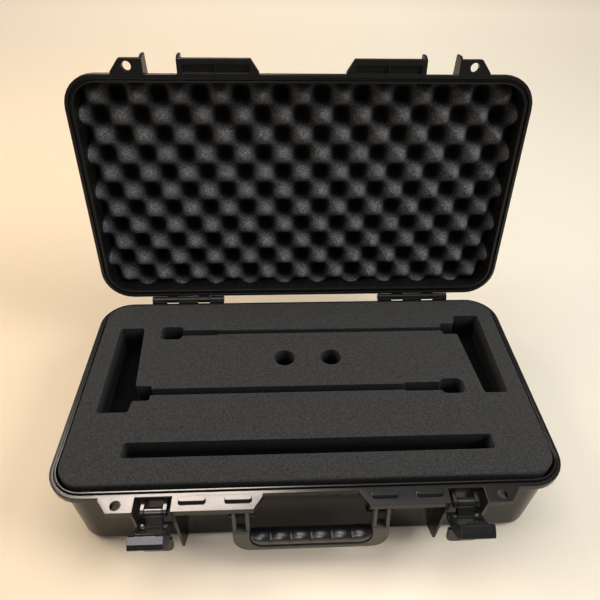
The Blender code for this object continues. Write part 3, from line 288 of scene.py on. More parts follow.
# %% Material helpers
def place_group(tree, group, place, **values):
    """One use of a node group with its own values, reading the piece's own coordinates."""
    node = tree.nodes.new("ShaderNodeGroup")
    node.node_tree = group
    feed(tree, node.inputs["Vector"], place)
    for title, value in values.items():
        node.inputs[title].default_value = value
    return node


def new_look(name):
    """A material's node tree, its surface shader, and the piece's own coordinates."""
    look = bpy.data.materials.new(name)
    look.use_nodes = True
    tree = look.node_tree
    place = tree.nodes.new("ShaderNodeTexCoord").outputs["Object"]
    return look, tree, tree.nodes["Principled BSDF"], place


def read_attribute(tree, name):
    """The value that a mesh carries at its points under a name."""
    node = tree.nodes.new("ShaderNodeAttribute")
    node.attribute_name = name
    return node.outputs["Fac"]


def add_bump(tree, skin, height, strength, distance):
    """Tilts the shading by a height pattern, so that a flat face looks grained."""
    bump = tree.nodes.new("ShaderNodeBump")
    bump.inputs["Strength"].default_value = strength
    bump.inputs["Distance"].default_value = distance
    feed(tree, bump.inputs["Height"], height)
    feed(tree, skin.inputs["Normal"], bump.outputs["Normal"])


print("materials so far:", len(bpy.data.materials))

# %% Plastic and rubber
DUST_GAIN, DUST_LIFT = 1.3, 0.003
WORN_GAIN, WORN_LIFT = 1.8, 0.006
CLOUD_ROUGHNESS = 0.16
FINE_ROUGHNESS = 0.06
POLISH = 0.10
GRAIN_HEIGHT = 0.08 * MM


def plastic(name, colour, roughness, grain=0.3, cells=1500.0, dust=0.35, wear=0.5, shine=0.24):
    """Moulded plastic or rubber: grain in the bump, clouds in the gloss, polished edges."""
    look, tree, skin, place = new_look(name)
    surface = place_group(tree, grain_group, place, Cells=cells)
    handled = place_group(tree, handling_group, place, Amount=dust)
    worn = work(tree, "MULTIPLY", read_attribute(tree, "edge"), wear)
    dusty = tuple(c * DUST_GAIN + DUST_LIFT for c in colour)
    lighter = tuple(c * WORN_GAIN + WORN_LIFT for c in colour)
    base = blend(tree, handled.outputs["Clouds"], colour, dusty)
    base = blend(tree, handled.outputs["Specks"], base, lighter)
    feed(tree, skin.inputs["Base Color"], blend(tree, worn, base, lighter))
    rough = work(tree, "MULTIPLY_ADD", handled.outputs["Clouds"], CLOUD_ROUGHNESS, roughness)
    rough = work(tree, "MULTIPLY_ADD", surface.outputs["Fine"], FINE_ROUGHNESS, rough)
    feed(tree, skin.inputs["Roughness"], work(tree, "MULTIPLY_ADD", worn, -POLISH, rough))
    skin.inputs["Specular IOR Level"].default_value = shine
    add_bump(tree, skin, surface.outputs["Height"], grain, GRAIN_HEIGHT)
    return look


shell_look = plastic("satin shell plastic", (0.008, 0.0077, 0.0072), 0.22, grain=0.15)
hinge_look = plastic("hinge plastic", (0.006, 0.006, 0.006), 0.26, grain=0.15)
latch_look = plastic("latch plastic", (0.0085, 0.0085, 0.009), 0.20, grain=0.1, wear=0.7, shine=0.36)
frame_look = plastic("handle frame plastic", (0.075, 0.071, 0.060), 0.40)
grip_look = plastic(
    "grip rubber", (0.002, 0.002, 0.003), 0.36, grain=0.0, cells=900.0, dust=0.1, shine=1.0
)
gasket_look = plastic("gasket rubber", (0.007, 0.007, 0.007), 0.34, grain=0.1)
print("plastics:", len(bpy.data.materials))

# %% [markdown]
# ## Foam
#
# Foam is matt: light goes into its cells and little comes back, so it has full roughness and
# almost no shine. Close up it is a mix of dark pits and lighter cell walls. The egg-crate
# foam is lighter and coarser than the dense block in the base. Real foam also swallows the
# light in its cuts and hollows. That takes many bounces to work out, so it is painted in: the
# colour goes dark below the block's upper face, and where the egg-crate foam's mesh says so.

# %% Foam
SPECKLE_LOW, SPECKLE_HIGH = 0.02, 0.52
DARK_START, DARK_END = 4 * MM, 20 * MM
DARK_SHARE = 0.06
CELL_HEIGHT = 0.5 * MM
FOAM_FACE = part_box("base_foam_top")[1].z


def depth_below(tree, place, height):
    """0 near a height, and 1 a little further down."""
    split = tree.nodes.new("ShaderNodeSeparateXYZ")
    feed(tree, split.inputs[0], place)
    return ramp(tree, work(tree, "SUBTRACT", height, split.outputs["Z"]), DARK_START, DARK_END)


def foam(name, dark, light, cells, bump, face=None):
    """Matt speckled foam, nearly black as painted shade below its face, or where its shade value is
    1.
    """
    look, tree, skin, place = new_look(name)
    surface = place_group(tree, cell_group, place, Cells=cells)
    speckle = ramp(tree, surface.outputs["Speckle"], SPECKLE_LOW, SPECKLE_HIGH)
    # painted shade: 0 at the face, and 1 down in the cuts, or where the mesh says so
    deep = read_attribute(tree, "deep") if face is None else depth_below(tree, place, face)
    base = blend(tree, speckle, dark, light)
    darkest = tuple(c * DARK_SHARE for c in dark)
    feed(tree, skin.inputs["Base Color"], blend(tree, deep, base, darkest))
    skin.inputs["Roughness"].default_value = 1.0
    skin.inputs["Specular IOR Level"].default_value = 0.05
    skin.inputs["Sheen Weight"].default_value = 0.03
    skin.inputs["Sheen Roughness"].default_value = 0.6
    add_bump(tree, skin, surface.outputs["Height"], bump, CELL_HEIGHT)
    return look


block_foam_look = foam(
    "dense block foam", (0.022, 0.022, 0.022), (0.062, 0.061, 0.060), 1400.0, 0.4, FOAM_FACE
)
egg_foam_look = foam("egg crate foam", (0.040, 0.040, 0.043), (0.220, 0.220, 0.230), 1000.0, 0.6)
print("foam face at", round(FOAM_FACE, 4))

# %% [markdown]
# ## Steel
#
# Pins and screws are turned from steel and darkened. Bare metal has no colour under its
# shine, so Metallic is 1 and the base colour tints the reflection. A fine, close grain varies
# both the tint and the gloss.

# %% Steel
STEEL_DARK, STEEL_LIGHT = (0.10, 0.10, 0.11), (0.24, 0.24, 0.25)
STEEL_CELLS = 3000.0
STEEL_ROUGHNESS, STEEL_SPREAD = 0.25, 0.2


def steel(name):
    """Darkened steel for the pins and screws: turned, so its grain runs fine and close."""
    look, tree, skin, place = new_look(name)
    fine = place_group(tree, grain_group, place, Cells=STEEL_CELLS).outputs["Fine"]
    skin.inputs["Metallic"].default_value = 1.0
    feed(tree, skin.inputs["Base Color"], blend(tree, fine, STEEL_DARK, STEEL_LIGHT))
    rough = work(tree, "MULTIPLY_ADD", fine, STEEL_SPREAD, STEEL_ROUGHNESS)
    feed(tree, skin.inputs["Roughness"], rough)
    return look


steel_look = steel("darkened steel")
print("finishes:", len(bpy.data.materials))

# %% [markdown]
# ## Rounding the edges
#
# No moulded edge is a knife edge: each has a radius of a few tenths of a millimetre, and that
# radius is what draws the thin bright lines round a black case. A solid's mesh is loose
# triangles, so a copy of it is merged first. Then its flat neighbours are joined to whole
# faces, these are split into convex ones, and every edge that turns by more than a given
# angle gets a small bevel.
# The bevel's points get the value 1 in an attribute called edge, which the finishes read.
# Last, each point's normal is the sum of its faces' normals, each as long as its face is
# large. So flat faces shade flat, and the bevel carries the whole turn.

# %% Rounded copies
FLAT_ANGLE = math.radians(0.6)
SOLID_MERGE_REACH = 0.02 * MM
LEAST_LENGTH = 1e-20


def weighted_normals(mesh):
    """Point normals: the sum over the faces at a point of face normal times face area."""
    count = len(mesh.polygons)
    normal = np.zeros(count * 3)
    area = np.zeros(count)
    total = np.zeros(count, dtype=int)
    mesh.polygons.foreach_get("normal", normal)
    mesh.polygons.foreach_get("area", area)
    mesh.polygons.foreach_get("loop_total", total)
    corner = np.zeros(len(mesh.loops), dtype=int)
    mesh.loops.foreach_get("vertex_index", corner)
    weighted = np.repeat(normal.reshape(-1, 3) * area[:, None], total, axis=0)
    summed = np.zeros((len(mesh.vertices), 3))
    np.add.at(summed, corner, weighted)
    length = np.maximum(np.linalg.norm(summed, axis=1, keepdims=True), LEAST_LENGTH)
    mesh.normals_split_custom_set_from_vertices((summed / length).tolist())


def bevelled(mesh, name, width, steps, degrees):
    """A new mesh: whole flat faces, and a bevel on every edge sharper than so many degrees."""
    bm = bmesh.new()
    bm.from_mesh(mesh)
    edge = bm.verts.layers.float.new("edge")
    bmesh.ops.remove_doubles(bm, verts=bm.verts, dist=SOLID_MERGE_REACH)
    bmesh.ops.dissolve_limit(bm, angle_limit=FLAT_ANGLE, verts=bm.verts, edges=bm.edges)
    bmesh.ops.connect_verts_concave(bm, faces=bm.faces)
    least = math.radians(degrees)
    sharp = [e for e in bm.edges if e.is_manifold and e.calc_face_angle() > least]
    corners = list({v for e in sharp for v in e.verts})
    made = bmesh.ops.bevel(
        bm, geom=sharp + corners, offset=width, offset_type="OFFSET", segments=steps, profile=0.5,
        affect="EDGES", clamp_overlap=False, miter_outer="SHARP", miter_inner="SHARP",
    )
    for v in made["verts"]:
        v[edge] = 1.0
    rounded = bpy.data.meshes.new(name)
    bm.to_mesh(rounded)
    bm.free()
    return rounded


def round_edges(node, look, width, steps=2, degrees=40, solid=None):
    """A copy of a solid with rounded edges that stands for it and moves with its body."""
    source = frame["nodes"][node]
    mesh = bevelled(solid or source.data, node + "_finished", width, steps, degrees)
    mesh.shade_smooth()
    weighted_normals(mesh)
    mesh.materials.append(look)
    piece = bpy.data.objects.new(mesh.name, mesh)
    bpy.context.scene.collection.objects.link(piece)
    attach(piece, source["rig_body"])
    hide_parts(node)
    return piece


print("faces within", round(math.degrees(FLAT_ANGLE), 1), "degrees are joined")

# %% [markdown]
# ## Bars and fins on the front
#
# Two details of the base's front are finer than its solid. The short bars on the front plate
# are slim and stand high, so the points of their tops are drawn back and raised. On the inner
# side of each latch one thin fin guards the hook, where the solid has two. The spare fin is
# cut off with a Boolean, because a cut leaves the wall behind it whole. The cutting block
# follows the wall, which leans in towards the bottom, and stays a hair clear of it. When the
# edges are rounded, merging points closes up what the cut has left of the fin.

# %% Bars on the front plate
RIM_HEIGHT = 112 * MM
BAR_FOOT = RIM_HEIGHT + 1.5 * MM
BAR_BACK = -147.6 * MM
BAR_BACK_REACH = 0.1 * MM
BAR_DEPTH_SHARE = 0.72
BAR_RISE = 1.2 * MM


def raise_bars(mesh):
    """For the tops' points: y = back line + 0.72 * (y - back line), and z + 1.2 mm."""
    own = read_points(mesh)
    bar = (own[:, 2] > BAR_FOOT) & (own[:, 1] < BAR_BACK + BAR_BACK_REACH)
    own[bar, 1] = BAR_BACK + BAR_DEPTH_SHARE * (own[bar, 1] - BAR_BACK)
    own[bar, 2] += BAR_RISE
    mesh.vertices.foreach_set("co", own.ravel())
    return int(bar.sum())


front_mesh = frame["nodes"]["base_shell"].data.copy()
print("bar points:", raise_bars(front_mesh))

# %% One fin less beside each latch
FLANGE_OVERHANG = 8 * MM
WALL_TOP = 104 * MM
WALL_DRAFT = 4 * MM
BOTTOM_EDGE_RADIUS = 10 * MM
FIN_LOW, FIN_HIGH = 124 * MM, 127 * MM
FIN_MARGIN = 0.2 * MM
CUT_HEIGHTS = np.array([2.0, 50.0, 104.0, 104.6]) * MM
CUT_OUT = -175 * MM
HAIR = 0.005 * MM


def wall_face(z):
    """Y of the front wall: upright above 104 mm, and leaning inwards by 4 mm below."""
    drop = max(WALL_TOP - z, 0) / (WALL_TOP - BOTTOM_EDGE_RADIUS)
    return -CASE_HALF_DEPTH + FLANGE_OVERHANG + WALL_DRAFT * drop


def add_fin_cutter(sign):
    """A block over one fin: its back is the wall's line, and its front is flat."""
    heights = CUT_HEIGHTS - HAIR
    side = [(wall_face(z) - HAIR, z) for z in heights]
    side += [(CUT_OUT, heights[-1]), (CUT_OUT, heights[0])]
    ends = (sign * (FIN_LOW - FIN_MARGIN), sign * (FIN_HIGH + FIN_MARGIN))
    points = np.array([[(x, y, z) for y, z in side] for x in ends])
    count = len(side)
    faces = [tuple(face) for face in grid_faces(2, count, wrap_columns=True)]
    faces += [tuple(range(count)), tuple(range(count, 2 * count))]
    return add_piece("cutter", points, faces)


def cut_fins(mesh):
    """A new mesh: the given one, less what lies in the two cutting blocks."""
    bm = bmesh.new()
    bm.from_mesh(mesh)
    bmesh.ops.remove_doubles(bm, verts=bm.verts, dist=MERGE_REACH)
    bm.to_mesh(mesh)
    bm.free()
    whole = bpy.data.objects.new("whole", mesh)
    bpy.context.scene.collection.objects.link(whole)
    cutters = [add_fin_cutter(sign) for sign in (-1, 1)]
    for cutter in cutters:
        cut = whole.modifiers.new("cut", "BOOLEAN")
        cut.operation = "DIFFERENCE"
        cut.object = cutter
    seen = whole.evaluated_get(bpy.context.evaluated_depsgraph_get())
    result = bpy.data.meshes.new_from_object(seen)
    for thing in [whole] + cutters:
        bpy.data.objects.remove(thing)
    return result


front_cut = cut_fins(front_mesh)
print("points after the cut:", len(front_cut.vertices))

# %% [markdown]
# ## The two shells
#
# Base and lid are injection moulded, each in one piece with its ribs, fins and flange. Their
# solids already have those, so both only get their rounded edges and the satin finish.

# %% Shells
SHELL_ROUNDING = 0.35 * MM
shells = [
    round_edges("base_shell", shell_look, SHELL_ROUNDING, solid=front_cut),
    round_edges("lid_shell", shell_look, SHELL_ROUNDING),
]
print("shells:", [len(shell.data.polygons) for shell in shells])

# %% [markdown]
# ## Slimmer hooks, shorter levers
#
# The real hooks have slim heads, and the levers short finger plates, while their solids are
# sturdier. Each is easiest to change in its own frame: measured from its pin, standing as it
# does when the latch is closed. One matrix takes a solid's points there and back, and a short
# formula moves them in between. A new shape would have to follow every joint and clearance
# again, and moved points keep them.

# %% Latch shapes
HOOK_ANGLE = math.radians(56)
HOOK_SHIFT = 3.8 * MM
HOOK_OUTSIDE = -4 * MM
TAPER_START = 12.5 * MM
TAPER_LENGTH = 14 * MM
LEVER_ANGLE = math.radians(-25)
FINGER_PLATE_START = -30 * MM
FINGER_PLATE_CUT = 0.2


def draw_in_hook(own):
    """Adds shift times (z - start) / length, cut to 0..1, to y, for points outside the pin.

    The tongue and the nose lie further in, so they keep their places. A larger shift would
    push the hook's web into the lever's barrel when the latch is closed.
    """
    share = np.clip((own[:, 2] - TAPER_START) / TAPER_LENGTH, 0, 1)
    own[:, 1] += HOOK_SHIFT * share * (own[:, 1] < HOOK_OUTSIDE)


def draw_in_lever(own):
    """Draws z in by a fifth of its distance below the start of the finger plate."""
    own[:, 2] += FINGER_PLATE_CUT * np.maximum(FINGER_PLATE_START - own[:, 2], 0)


def reshaped(node, pin, angle, change):
    """A copy of a solid's mesh with its points changed in the frame of its pin."""
    stand = Matrix.Translation(pin) @ Matrix.Rotation(angle, 4, "X")
    mesh = frame["nodes"][node].data.copy()
    own = moved(read_points(mesh), stand.inverted())
    change(own)
    mesh.vertices.foreach_set("co", moved(own, stand).ravel())
    return mesh


def slim_hook(node):
    """The hook's mesh with its head drawn in, measured from the middle of its link pin."""
    low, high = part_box(node.replace("hook", "link_pin"))
    return reshaped(node, (low + high) / 2, HOOK_ANGLE, draw_in_hook)


def short_lever(node):
    """The lever's mesh with a shorter finger plate, measured from its pivot pin."""
    low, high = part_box(node.replace("lever", "pivot_pin"))
    return reshaped(node, (low + high) / 2, LEVER_ANGLE, draw_in_lever)


reshapes = {"latch_hook": slim_hook, "latch_lever": short_lever}
print("reshaped by formula:", list(reshapes))

# %% [markdown]
# ## Hinges, latches and the handle's frame
#
# The small hard pieces are treated as the shells are, with smaller radii. Levers and hooks
# have shallow facets, so their bevel starts at flatter edges. Each piece stays the separate
# part that it is, on its own moving body, so the lid, levers, hooks and handle can still
# swing.

# %% Small hard pieces
looks_by_word = {
    "hinge_leaf": (hinge_look, 0.3 * MM, 40),
    "latch_lever": (latch_look, 0.25 * MM, 24),
    "latch_hook": (latch_look, 0.25 * MM, 24),
    "handle_frame": (frame_look, 0.4 * MM, 40),
    "_pin_": (steel_look, 0.2 * MM, 40),
    "screw": (steel_look, 0.12 * MM, 40),
}
small_pieces = []
for node in frame["nodes"]:
    for word, (look, width, degrees) in looks_by_word.items():
        if word in node:
            solid = reshapes[word](node) if word in reshapes else None
            small_pieces.append(round_edges(node, look, width, degrees=degrees, solid=solid))
            break
print("small pieces:", len(small_pieces))

# %% [markdown]
# ## The foam block in the base
#
# The block is two layers glued together: the shapes are cut right through the upper one.
# A cutter presses foam down before it parts it, so the upper edges of the cuts are slightly
# drawn in and rounded, and so is the block's outer edge. The bevel is therefore wider here
# than on the plastic, with more steps.

# %% Foam block
FOAM_ROUNDING = 0.7 * MM
block_top = round_edges("base_foam_top", block_foam_look, FOAM_ROUNDING, steps=3)
block_low = round_edges("base_foam_bottom", block_foam_look, FOAM_ROUNDING)
print("block faces:", len(block_top.data.polygons))

# %% [markdown]
# ## Egg-crate foam
#
# Egg-crate foam is cut by squeezing a slab between two studded rollers, so its surface is a
# product of two waves: a peak, then a hollow, every 24 mm along and across. The rows of the
# grid follow the lid's rounded corners, but the wave is read at each point's real place, so
# the pattern runs straight through to the cut edge. The sides drop straight to the back.
# Displacing a flat slab by a texture would give the same waves, but a formula can be measured.

# %% The waves
EGG_PITCH = 24 * MM
EGG_ORIGIN = 272 * MM
EGG_INSET = 10.4 * MM
EGG_FRONT = 7.4 * MM
EGG_RELIEF = 30 * MM
EGG_BACK = 42.6 * MM
EGG_POWER = 1.15
EGG_SPACING = 2.4 * MM
EGG_CORNER_ROWS = 12


def egg_grid():
    """Places in a rounded rectangle: rows of equal count, each as wide as the outline there.

    Within a corner the row's distance is radius times sin(t) and its half width shrinks to
    straight half width plus radius times cos(t), so the row ends lie on the round corner.
    """
    radius = CASE_CORNER - EGG_INSET
    straight_x = CASE_HALF_WIDTH - CASE_CORNER
    straight_y = CASE_HALF_DEPTH - CASE_CORNER
    turn = np.linspace(0, math.pi / 2, EGG_CORNER_ROWS + 1)
    middle = np.linspace(-straight_y, straight_y, int(2 * straight_y / EGG_SPACING) + 1)
    front = -straight_y - radius * np.sin(turn[:0:-1])
    back = straight_y + radius * np.sin(turn[1:])
    y = np.concatenate([front, middle, back])
    past = np.clip(np.abs(y) - straight_y, 0, radius)
    half = straight_x + np.sqrt(np.maximum(radius**2 - past**2, 0))
    across = np.linspace(-1, 1, int(2 * (straight_x + radius) / EGG_SPACING) + 1)
    return across[None, :] * half[:, None], np.repeat(y[:, None], len(across), axis=1)


def egg_height(x, reach):
    """1 on a peak and 0 in a hollow: ((1 + product of two waves) / 2) ** 1.15."""
    wave = np.cos(np.pi * x / EGG_PITCH) * np.cos(np.pi * (reach - EGG_ORIGIN) / EGG_PITCH)
    return (0.5 + 0.5 * wave) ** EGG_POWER


print("rows and columns of the foam:", egg_grid()[0].shape)

# %% The slab
def build_egg_foam():
    """The waves as a grid, two rings of points down its sides, and one flat back."""
    x, y = egg_grid()
    rows, columns = x.shape
    z = EGG_FRONT + EGG_RELIEF * (1 - egg_height(x, HINGE_BACK - y))
    top = np.stack([x, y - HINGE_BACK, z], axis=-1)
    index = np.arange(rows * columns).reshape(rows, columns)
    border = np.concatenate([index[0, :-1], index[:-1, -1], index[-1, :0:-1], index[:0:-1, 0]])
    rim = top.reshape(-1, 3)[border]
    depths = np.array([0.5, 1.0])[:, None]
    sides = np.repeat(rim[None], 2, axis=0)
    sides[:, :, 2] = rim[None, :, 2] * (1 - depths) + EGG_BACK * depths
    points = np.concatenate([top.reshape(-1, 3), sides.reshape(-1, 3)])
    faces = [tuple(face) for face in grid_faces(rows, columns)]
    count = len(border)
    below = rows * columns + np.arange(2 * count).reshape(2, count)
    rings = np.concatenate([border[None], below])
    faces += [tuple(face) for face in rings.reshape(-1)[grid_faces(3, count, wrap_columns=True)]]
    faces.append(tuple(rings[2]))
    return add_piece("egg_crate_foam", points, faces, lid_turn)


egg_foam = build_egg_foam()
print("egg-crate faces:", len(egg_foam.data.polygons))

# %% [markdown]
# The shade in the hollows is painted in: each point also carries a shade value, 0 on the
# upper part of a peak, and 1 from about two thirds of the way down. The foam's finish reads
# it and goes dark there. The slab's cut edges stay sharp.

# %% Egg-crate foam in the lid
DEEP_START = 9 * MM
DEEP_SPAN = 13 * MM
CUT_EDGE_DEGREES = 50

egg_foam.data.materials.append(egg_foam_look)
closed = moved(read_points(egg_foam.data), lid_turn.inverted())
# painted shade for the hollows: 0 on the upper part of a peak, 1 lower down
depth = np.clip((closed[:, 2] - EGG_FRONT - DEEP_START) / DEEP_SPAN, 0, 1)
egg_foam.data.attributes.new("deep", "FLOAT", "POINT").data.foreach_set("value", depth)
egg_foam.data.set_sharp_from_angle(angle=math.radians(CUT_EDGE_DEGREES))
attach(egg_foam, "lid")
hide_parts("lid_foam")
print("dark share of the egg-crate foam:", round(float(depth.mean()), 2))

# %% [markdown]
# ## The gasket
#
# The rubber ring in the lid's groove is an extrusion: one section carried round the rim. The
# base's lip presses into it. Its free face is crowned, which is why a soft line of light runs
# along it. The section is given as distances in from the case's outline and heights, and the
# outline at a distance is the same rounded rectangle with a smaller corner. A curve with a
# bevel would make a ring too, but here each section lies where the groove is, also in the
# corners.

# %% Gasket
GASKET_INSET = 5.7 * MM
GASKET_HALF_WIDTH = 1.4 * MM
GASKET_SHOULDER = 0.9 * MM
GASKET_CROWN = 1.0 * MM
GASKET_ROOT = 2.1 * MM
CROWN_POINTS = 9
CORNER_STEPS = 16


def rim_path(inset):
    """Rounded rectangle about the case's middle, moved inwards by the inset."""
    radius = CASE_CORNER - inset
    quarters = [np.linspace(q, q + 1, CORNER_STEPS + 1) for q in range(4)]
    turn = np.concatenate(quarters) * math.pi / 2
    side_x = np.repeat([1, -1, -1, 1], CORNER_STEPS + 1)
    side_y = np.repeat([1, 1, -1, -1], CORNER_STEPS + 1)
    x = side_x * (CASE_HALF_WIDTH - CASE_CORNER) + radius * np.cos(turn)
    y = side_y * (CASE_HALF_DEPTH - CASE_CORNER) + radius * np.sin(turn)
    return np.stack([x, y], axis=-1)


def ring_round_rim(name, section):
    """A closed section of (inset, height) pairs carried round the rim of the closed lid."""
    rings = []
    for inset, height in section:
        path = rim_path(inset)
        rings.append(np.column_stack([path, np.full(len(path), height)]))
    points = np.stack(rings)
    points[..., 1] -= HINGE_BACK
    rows, columns = points.shape[:2]
    return add_piece(name, points, grid_faces(rows, columns, True, True), lid_turn)


angle = np.linspace(math.pi, 2 * math.pi, CROWN_POINTS)
crown_inset = GASKET_INSET + GASKET_HALF_WIDTH * np.cos(angle)
crown = np.column_stack([crown_inset, GASKET_SHOULDER + GASKET_CROWN * np.sin(angle)])
outer, inner = GASKET_INSET + GASKET_HALF_WIDTH, GASKET_INSET - GASKET_HALF_WIDTH
section = np.concatenate([crown, [[outer, GASKET_ROOT], [inner, GASKET_ROOT]]])
gasket = ring_round_rim("gasket_ring", section)
gasket.data.materials.append(gasket_look)
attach(gasket, "lid")
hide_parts("lid_gasket")
print("gasket faces:", len(gasket.data.polygons))

# %% [markdown]
# ## The soft grip
#
# A soft rubber grip fills the handle's opening, with six round swellings for the fingers and
# a crease between each two. It is made from oval sections along its length. Each section
# reaches from the grip's upper face down to the frame, whose corners are round, and swells
# towards the upper front. Along the grip the swelling is the upper half of a wave, again and
# again: its rounds are broad and its creases sharp, as on the real grip. Sculpting could give
# the same form, but a formula keeps the swellings alike and the ends close to the frame.

# %% Grip
GRIP_HALF_LENGTH = 63.4 * MM
GRIP_DEPTH = 10.5 * MM
GRIP_TOP = 34.3 * MM
GRIP_SECTIONS = 121
GRIP_SIDES = 48
FINGERS = 6
OPENING_CORNER = 13.4 * MM
CORNER_SHARE = 0.985
CORNER_ACROSS, CORNER_DOWN = 50 * MM, 36 * MM
NARROWING_POWER = 0.35
LEAST_SWELL = 0.9
SWELLING = 0.42
SWELL_ANGLE, SWELL_SPREAD = math.radians(118), math.radians(48)
HANDLE_ANGLE = math.radians(13)


def build_grip():
    """Sections at x: y = depth * cos(t), z = middle + half height * sin(t), times a swelling.

    The swelling is 0.9 + 0.42 * wave(x) * facing(t). The wave is the absolute value of a cosine
    and peaks at each finger. The facing is exp(-((t - 118) / 48) ** 2) in degrees, so it lies
    towards the upper front. The low side follows the frame's corner: centre height minus the
    root of (radius squared minus the distance past it squared). As the half height shrinks
    there, the depth shrinks too, by the power 0.35 of the same share.
    """
    pin_low, pin_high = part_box("handle_pin_left")
    turn = Matrix.Translation((0.0, (pin_low.y + pin_high.y) / 2, (pin_low.z + pin_high.z) / 2))
    turn = turn @ Matrix.Rotation(-HANDLE_ANGLE, 4, "X")
    x = np.linspace(-1, 1, GRIP_SECTIONS)[:, None] * GRIP_HALF_LENGTH
    t = np.linspace(0, 2 * math.pi, GRIP_SIDES, endpoint=False)[None, :]
    pitch = 2 * GRIP_HALF_LENGTH / FINGERS
    wave = np.abs(np.cos(math.pi * (x / pitch - 0.5)))
    facing = np.exp(-(((t - SWELL_ANGLE) / SWELL_SPREAD) ** 2))
    past = np.clip(np.abs(x) - CORNER_ACROSS, 0, OPENING_CORNER * CORNER_SHARE)
    low = -CORNER_DOWN - np.sqrt(OPENING_CORNER**2 - past**2)
    middle = (low - GRIP_TOP) / 2
    half = (-GRIP_TOP - low) / 2
    narrow = (half / np.max(half)) ** NARROWING_POWER
    swell = LEAST_SWELL + SWELLING * wave * facing
    y = GRIP_DEPTH * narrow * swell * np.cos(t)
    z = middle + half * swell * np.sin(t)
    points = np.stack([np.broadcast_to(x, y.shape), y, z], axis=-1)
    rows, columns = y.shape
    faces = [tuple(face) for face in grid_faces(rows, columns, wrap_columns=True)]
    faces.append(tuple(range(columns)))
    faces.append(tuple(range((rows - 1) * columns, rows * columns)))
    return add_piece("soft_grip", points, faces, turn)


grip = build_grip()
grip.data.materials.append(grip_look)
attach(grip, "handle")
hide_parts("handle_grip")
print("grip faces:", len(grip.data.polygons))

# %% [markdown]
# ## The floor
#
# The case stands on a plain cream floor, a disc wide enough to fill the picture. Its colour
# holds painted light: warm on the left, where the warm lamp falls, slowly turning neutral on
# the right. In a real room a pale floor is lit by everything round it. Here painted light takes
# that part: a faint glow that only the camera sees, far away and just before the case, where it
# lifts the case's shadow, so it adds no light to the case itself.

# %% Floor
FLOOR_RINGS = np.array([0.001, 0.5, 1.5, 4.0, 12.0])
FLOOR_SIDES = 64
FLOOR_LEVEL = -0.2 * MM
# painted light: warm where the warm lamp falls on the left, neutral on the right, and glow colours
# that only the camera sees
WARM_LIT_FLOOR, NEUTRAL_LIT_FLOOR = (0.93, 0.745, 0.535), (0.90, 0.83, 0.70)
WARM_TO_NEUTRAL = (-0.45, 0.5)
NO_GLOW, FAR_GLOW, FRONT_GLOW = (0.0, 0.0, 0.0), (0.62, 0.53, 0.41), (0.20, 0.17, 0.14)
FAR_ALONG, FAR_ASIDE, FAR_FALL = (0.3, 2.2), (0.5, 3.0), 0.45
FRONT_ALONG, FRONT_ASIDE = (0.12, 0.15), (0.10, 0.34)
FLOOR_CELLS, FLOOR_DETAIL = 60.0, 4.0


def build_floor():
    """A disc: points at radius times cos and sin of the angle, in growing rings."""
    turn = np.linspace(0, 2 * math.pi, FLOOR_SIDES, endpoint=False)
    x = FLOOR_RINGS[:, None] * np.cos(turn)
    y = FLOOR_RINGS[:, None] * np.sin(turn)
    points = np.stack([x, y, np.full_like(x, FLOOR_LEVEL)], axis=-1)
    return add_piece("floor", points, grid_faces(len(FLOOR_RINGS), FLOOR_SIDES, wrap_columns=True))


def floor_finish():
    """Painted light: warm to neutral from left to right, and the camera's glow in two places.

    Far glow: a ramp of the distance behind, times 1 - 0.45 * a ramp of the distance aside.
    Front glow: a ramp of the distance in front, times 1 - a ramp of the distance aside.
    """
    look, tree, skin, place = new_look("cream floor")
    split = tree.nodes.new("ShaderNodeSeparateXYZ")
    feed(tree, split.inputs[0], place)
    across, along = split.outputs["X"], split.outputs["Y"]
    aside = work(tree, "ABSOLUTE", across)
    # painted light: the floor warms towards the left, where the warm lamp falls
    side = ramp(tree, across, *WARM_TO_NEUTRAL)
    feed(tree, skin.inputs["Base Color"], blend(tree, side, WARM_LIT_FLOOR, NEUTRAL_LIT_FLOOR))
    # painted light: a glow only the camera sees, far behind the case and just before it, where its
    # shadow falls
    eye = tree.nodes.new("ShaderNodeLightPath").outputs["Is Camera Ray"]
    fall = work(tree, "MULTIPLY_ADD", ramp(tree, aside, *FAR_ASIDE), -FAR_FALL, 1.0)
    far = work(tree, "MULTIPLY", ramp(tree, along, *FAR_ALONG), fall)
    glow = blend(tree, work(tree, "MULTIPLY", far, eye), NO_GLOW, FAR_GLOW)
    before = ramp(tree, work(tree, "MULTIPLY", along, -1.0), *FRONT_ALONG)
    middle = work(tree, "SUBTRACT", 1.0, ramp(tree, aside, *FRONT_ASIDE))
    front = work(tree, "MULTIPLY", work(tree, "MULTIPLY", before, middle), eye)
    feed(tree, skin.inputs["Emission Color"], blend(tree, front, glow, FRONT_GLOW))
    skin.inputs["Emission Strength"].default_value = 1.0
    grain = noise(tree, place, FLOOR_CELLS, FLOOR_DETAIL)
    feed(tree, skin.inputs["Roughness"], work(tree, "MULTIPLY_ADD", grain, 0.1, 0.6))
    skin.inputs["Specular IOR Level"].default_value = 0.2
    return look


floor = build_floor()
floor.data.materials.append(floor_finish())
print("floor faces:", len(floor.data.polygons))

# %% [markdown]
# ## Lamps
#
# Black plastic shows little colour of its own. What it shows is the mirror image of the lamps
# on its flat faces and along its rims, while foam and floor show only how much light arrives.
# So the lamps come in two kinds. The overhead lamp does both. The right and left ones light
# foam and floor but have no mirror image. The back left one is a window's reflection on the
# front plate, and the front one the soft light on latches and grip: these two are only seen
# as mirror images, so they don't wash out the foam's hollows.

# %% Lamps
CASE = (0.0, 0.0, 0.1)
FRONT_PLATE = (-0.12, -0.15, 0.1)
CREAM_WHITE, COOL_WHITE, WARM_WHITE = (1.0, 0.98, 0.95), (0.96, 0.98, 1.0), (1.0, 0.88, 0.70)
WINDOW_WHITE, FRONT_WHITE = (1.0, 0.86, 0.76), (0.98, 0.94, 1.0)


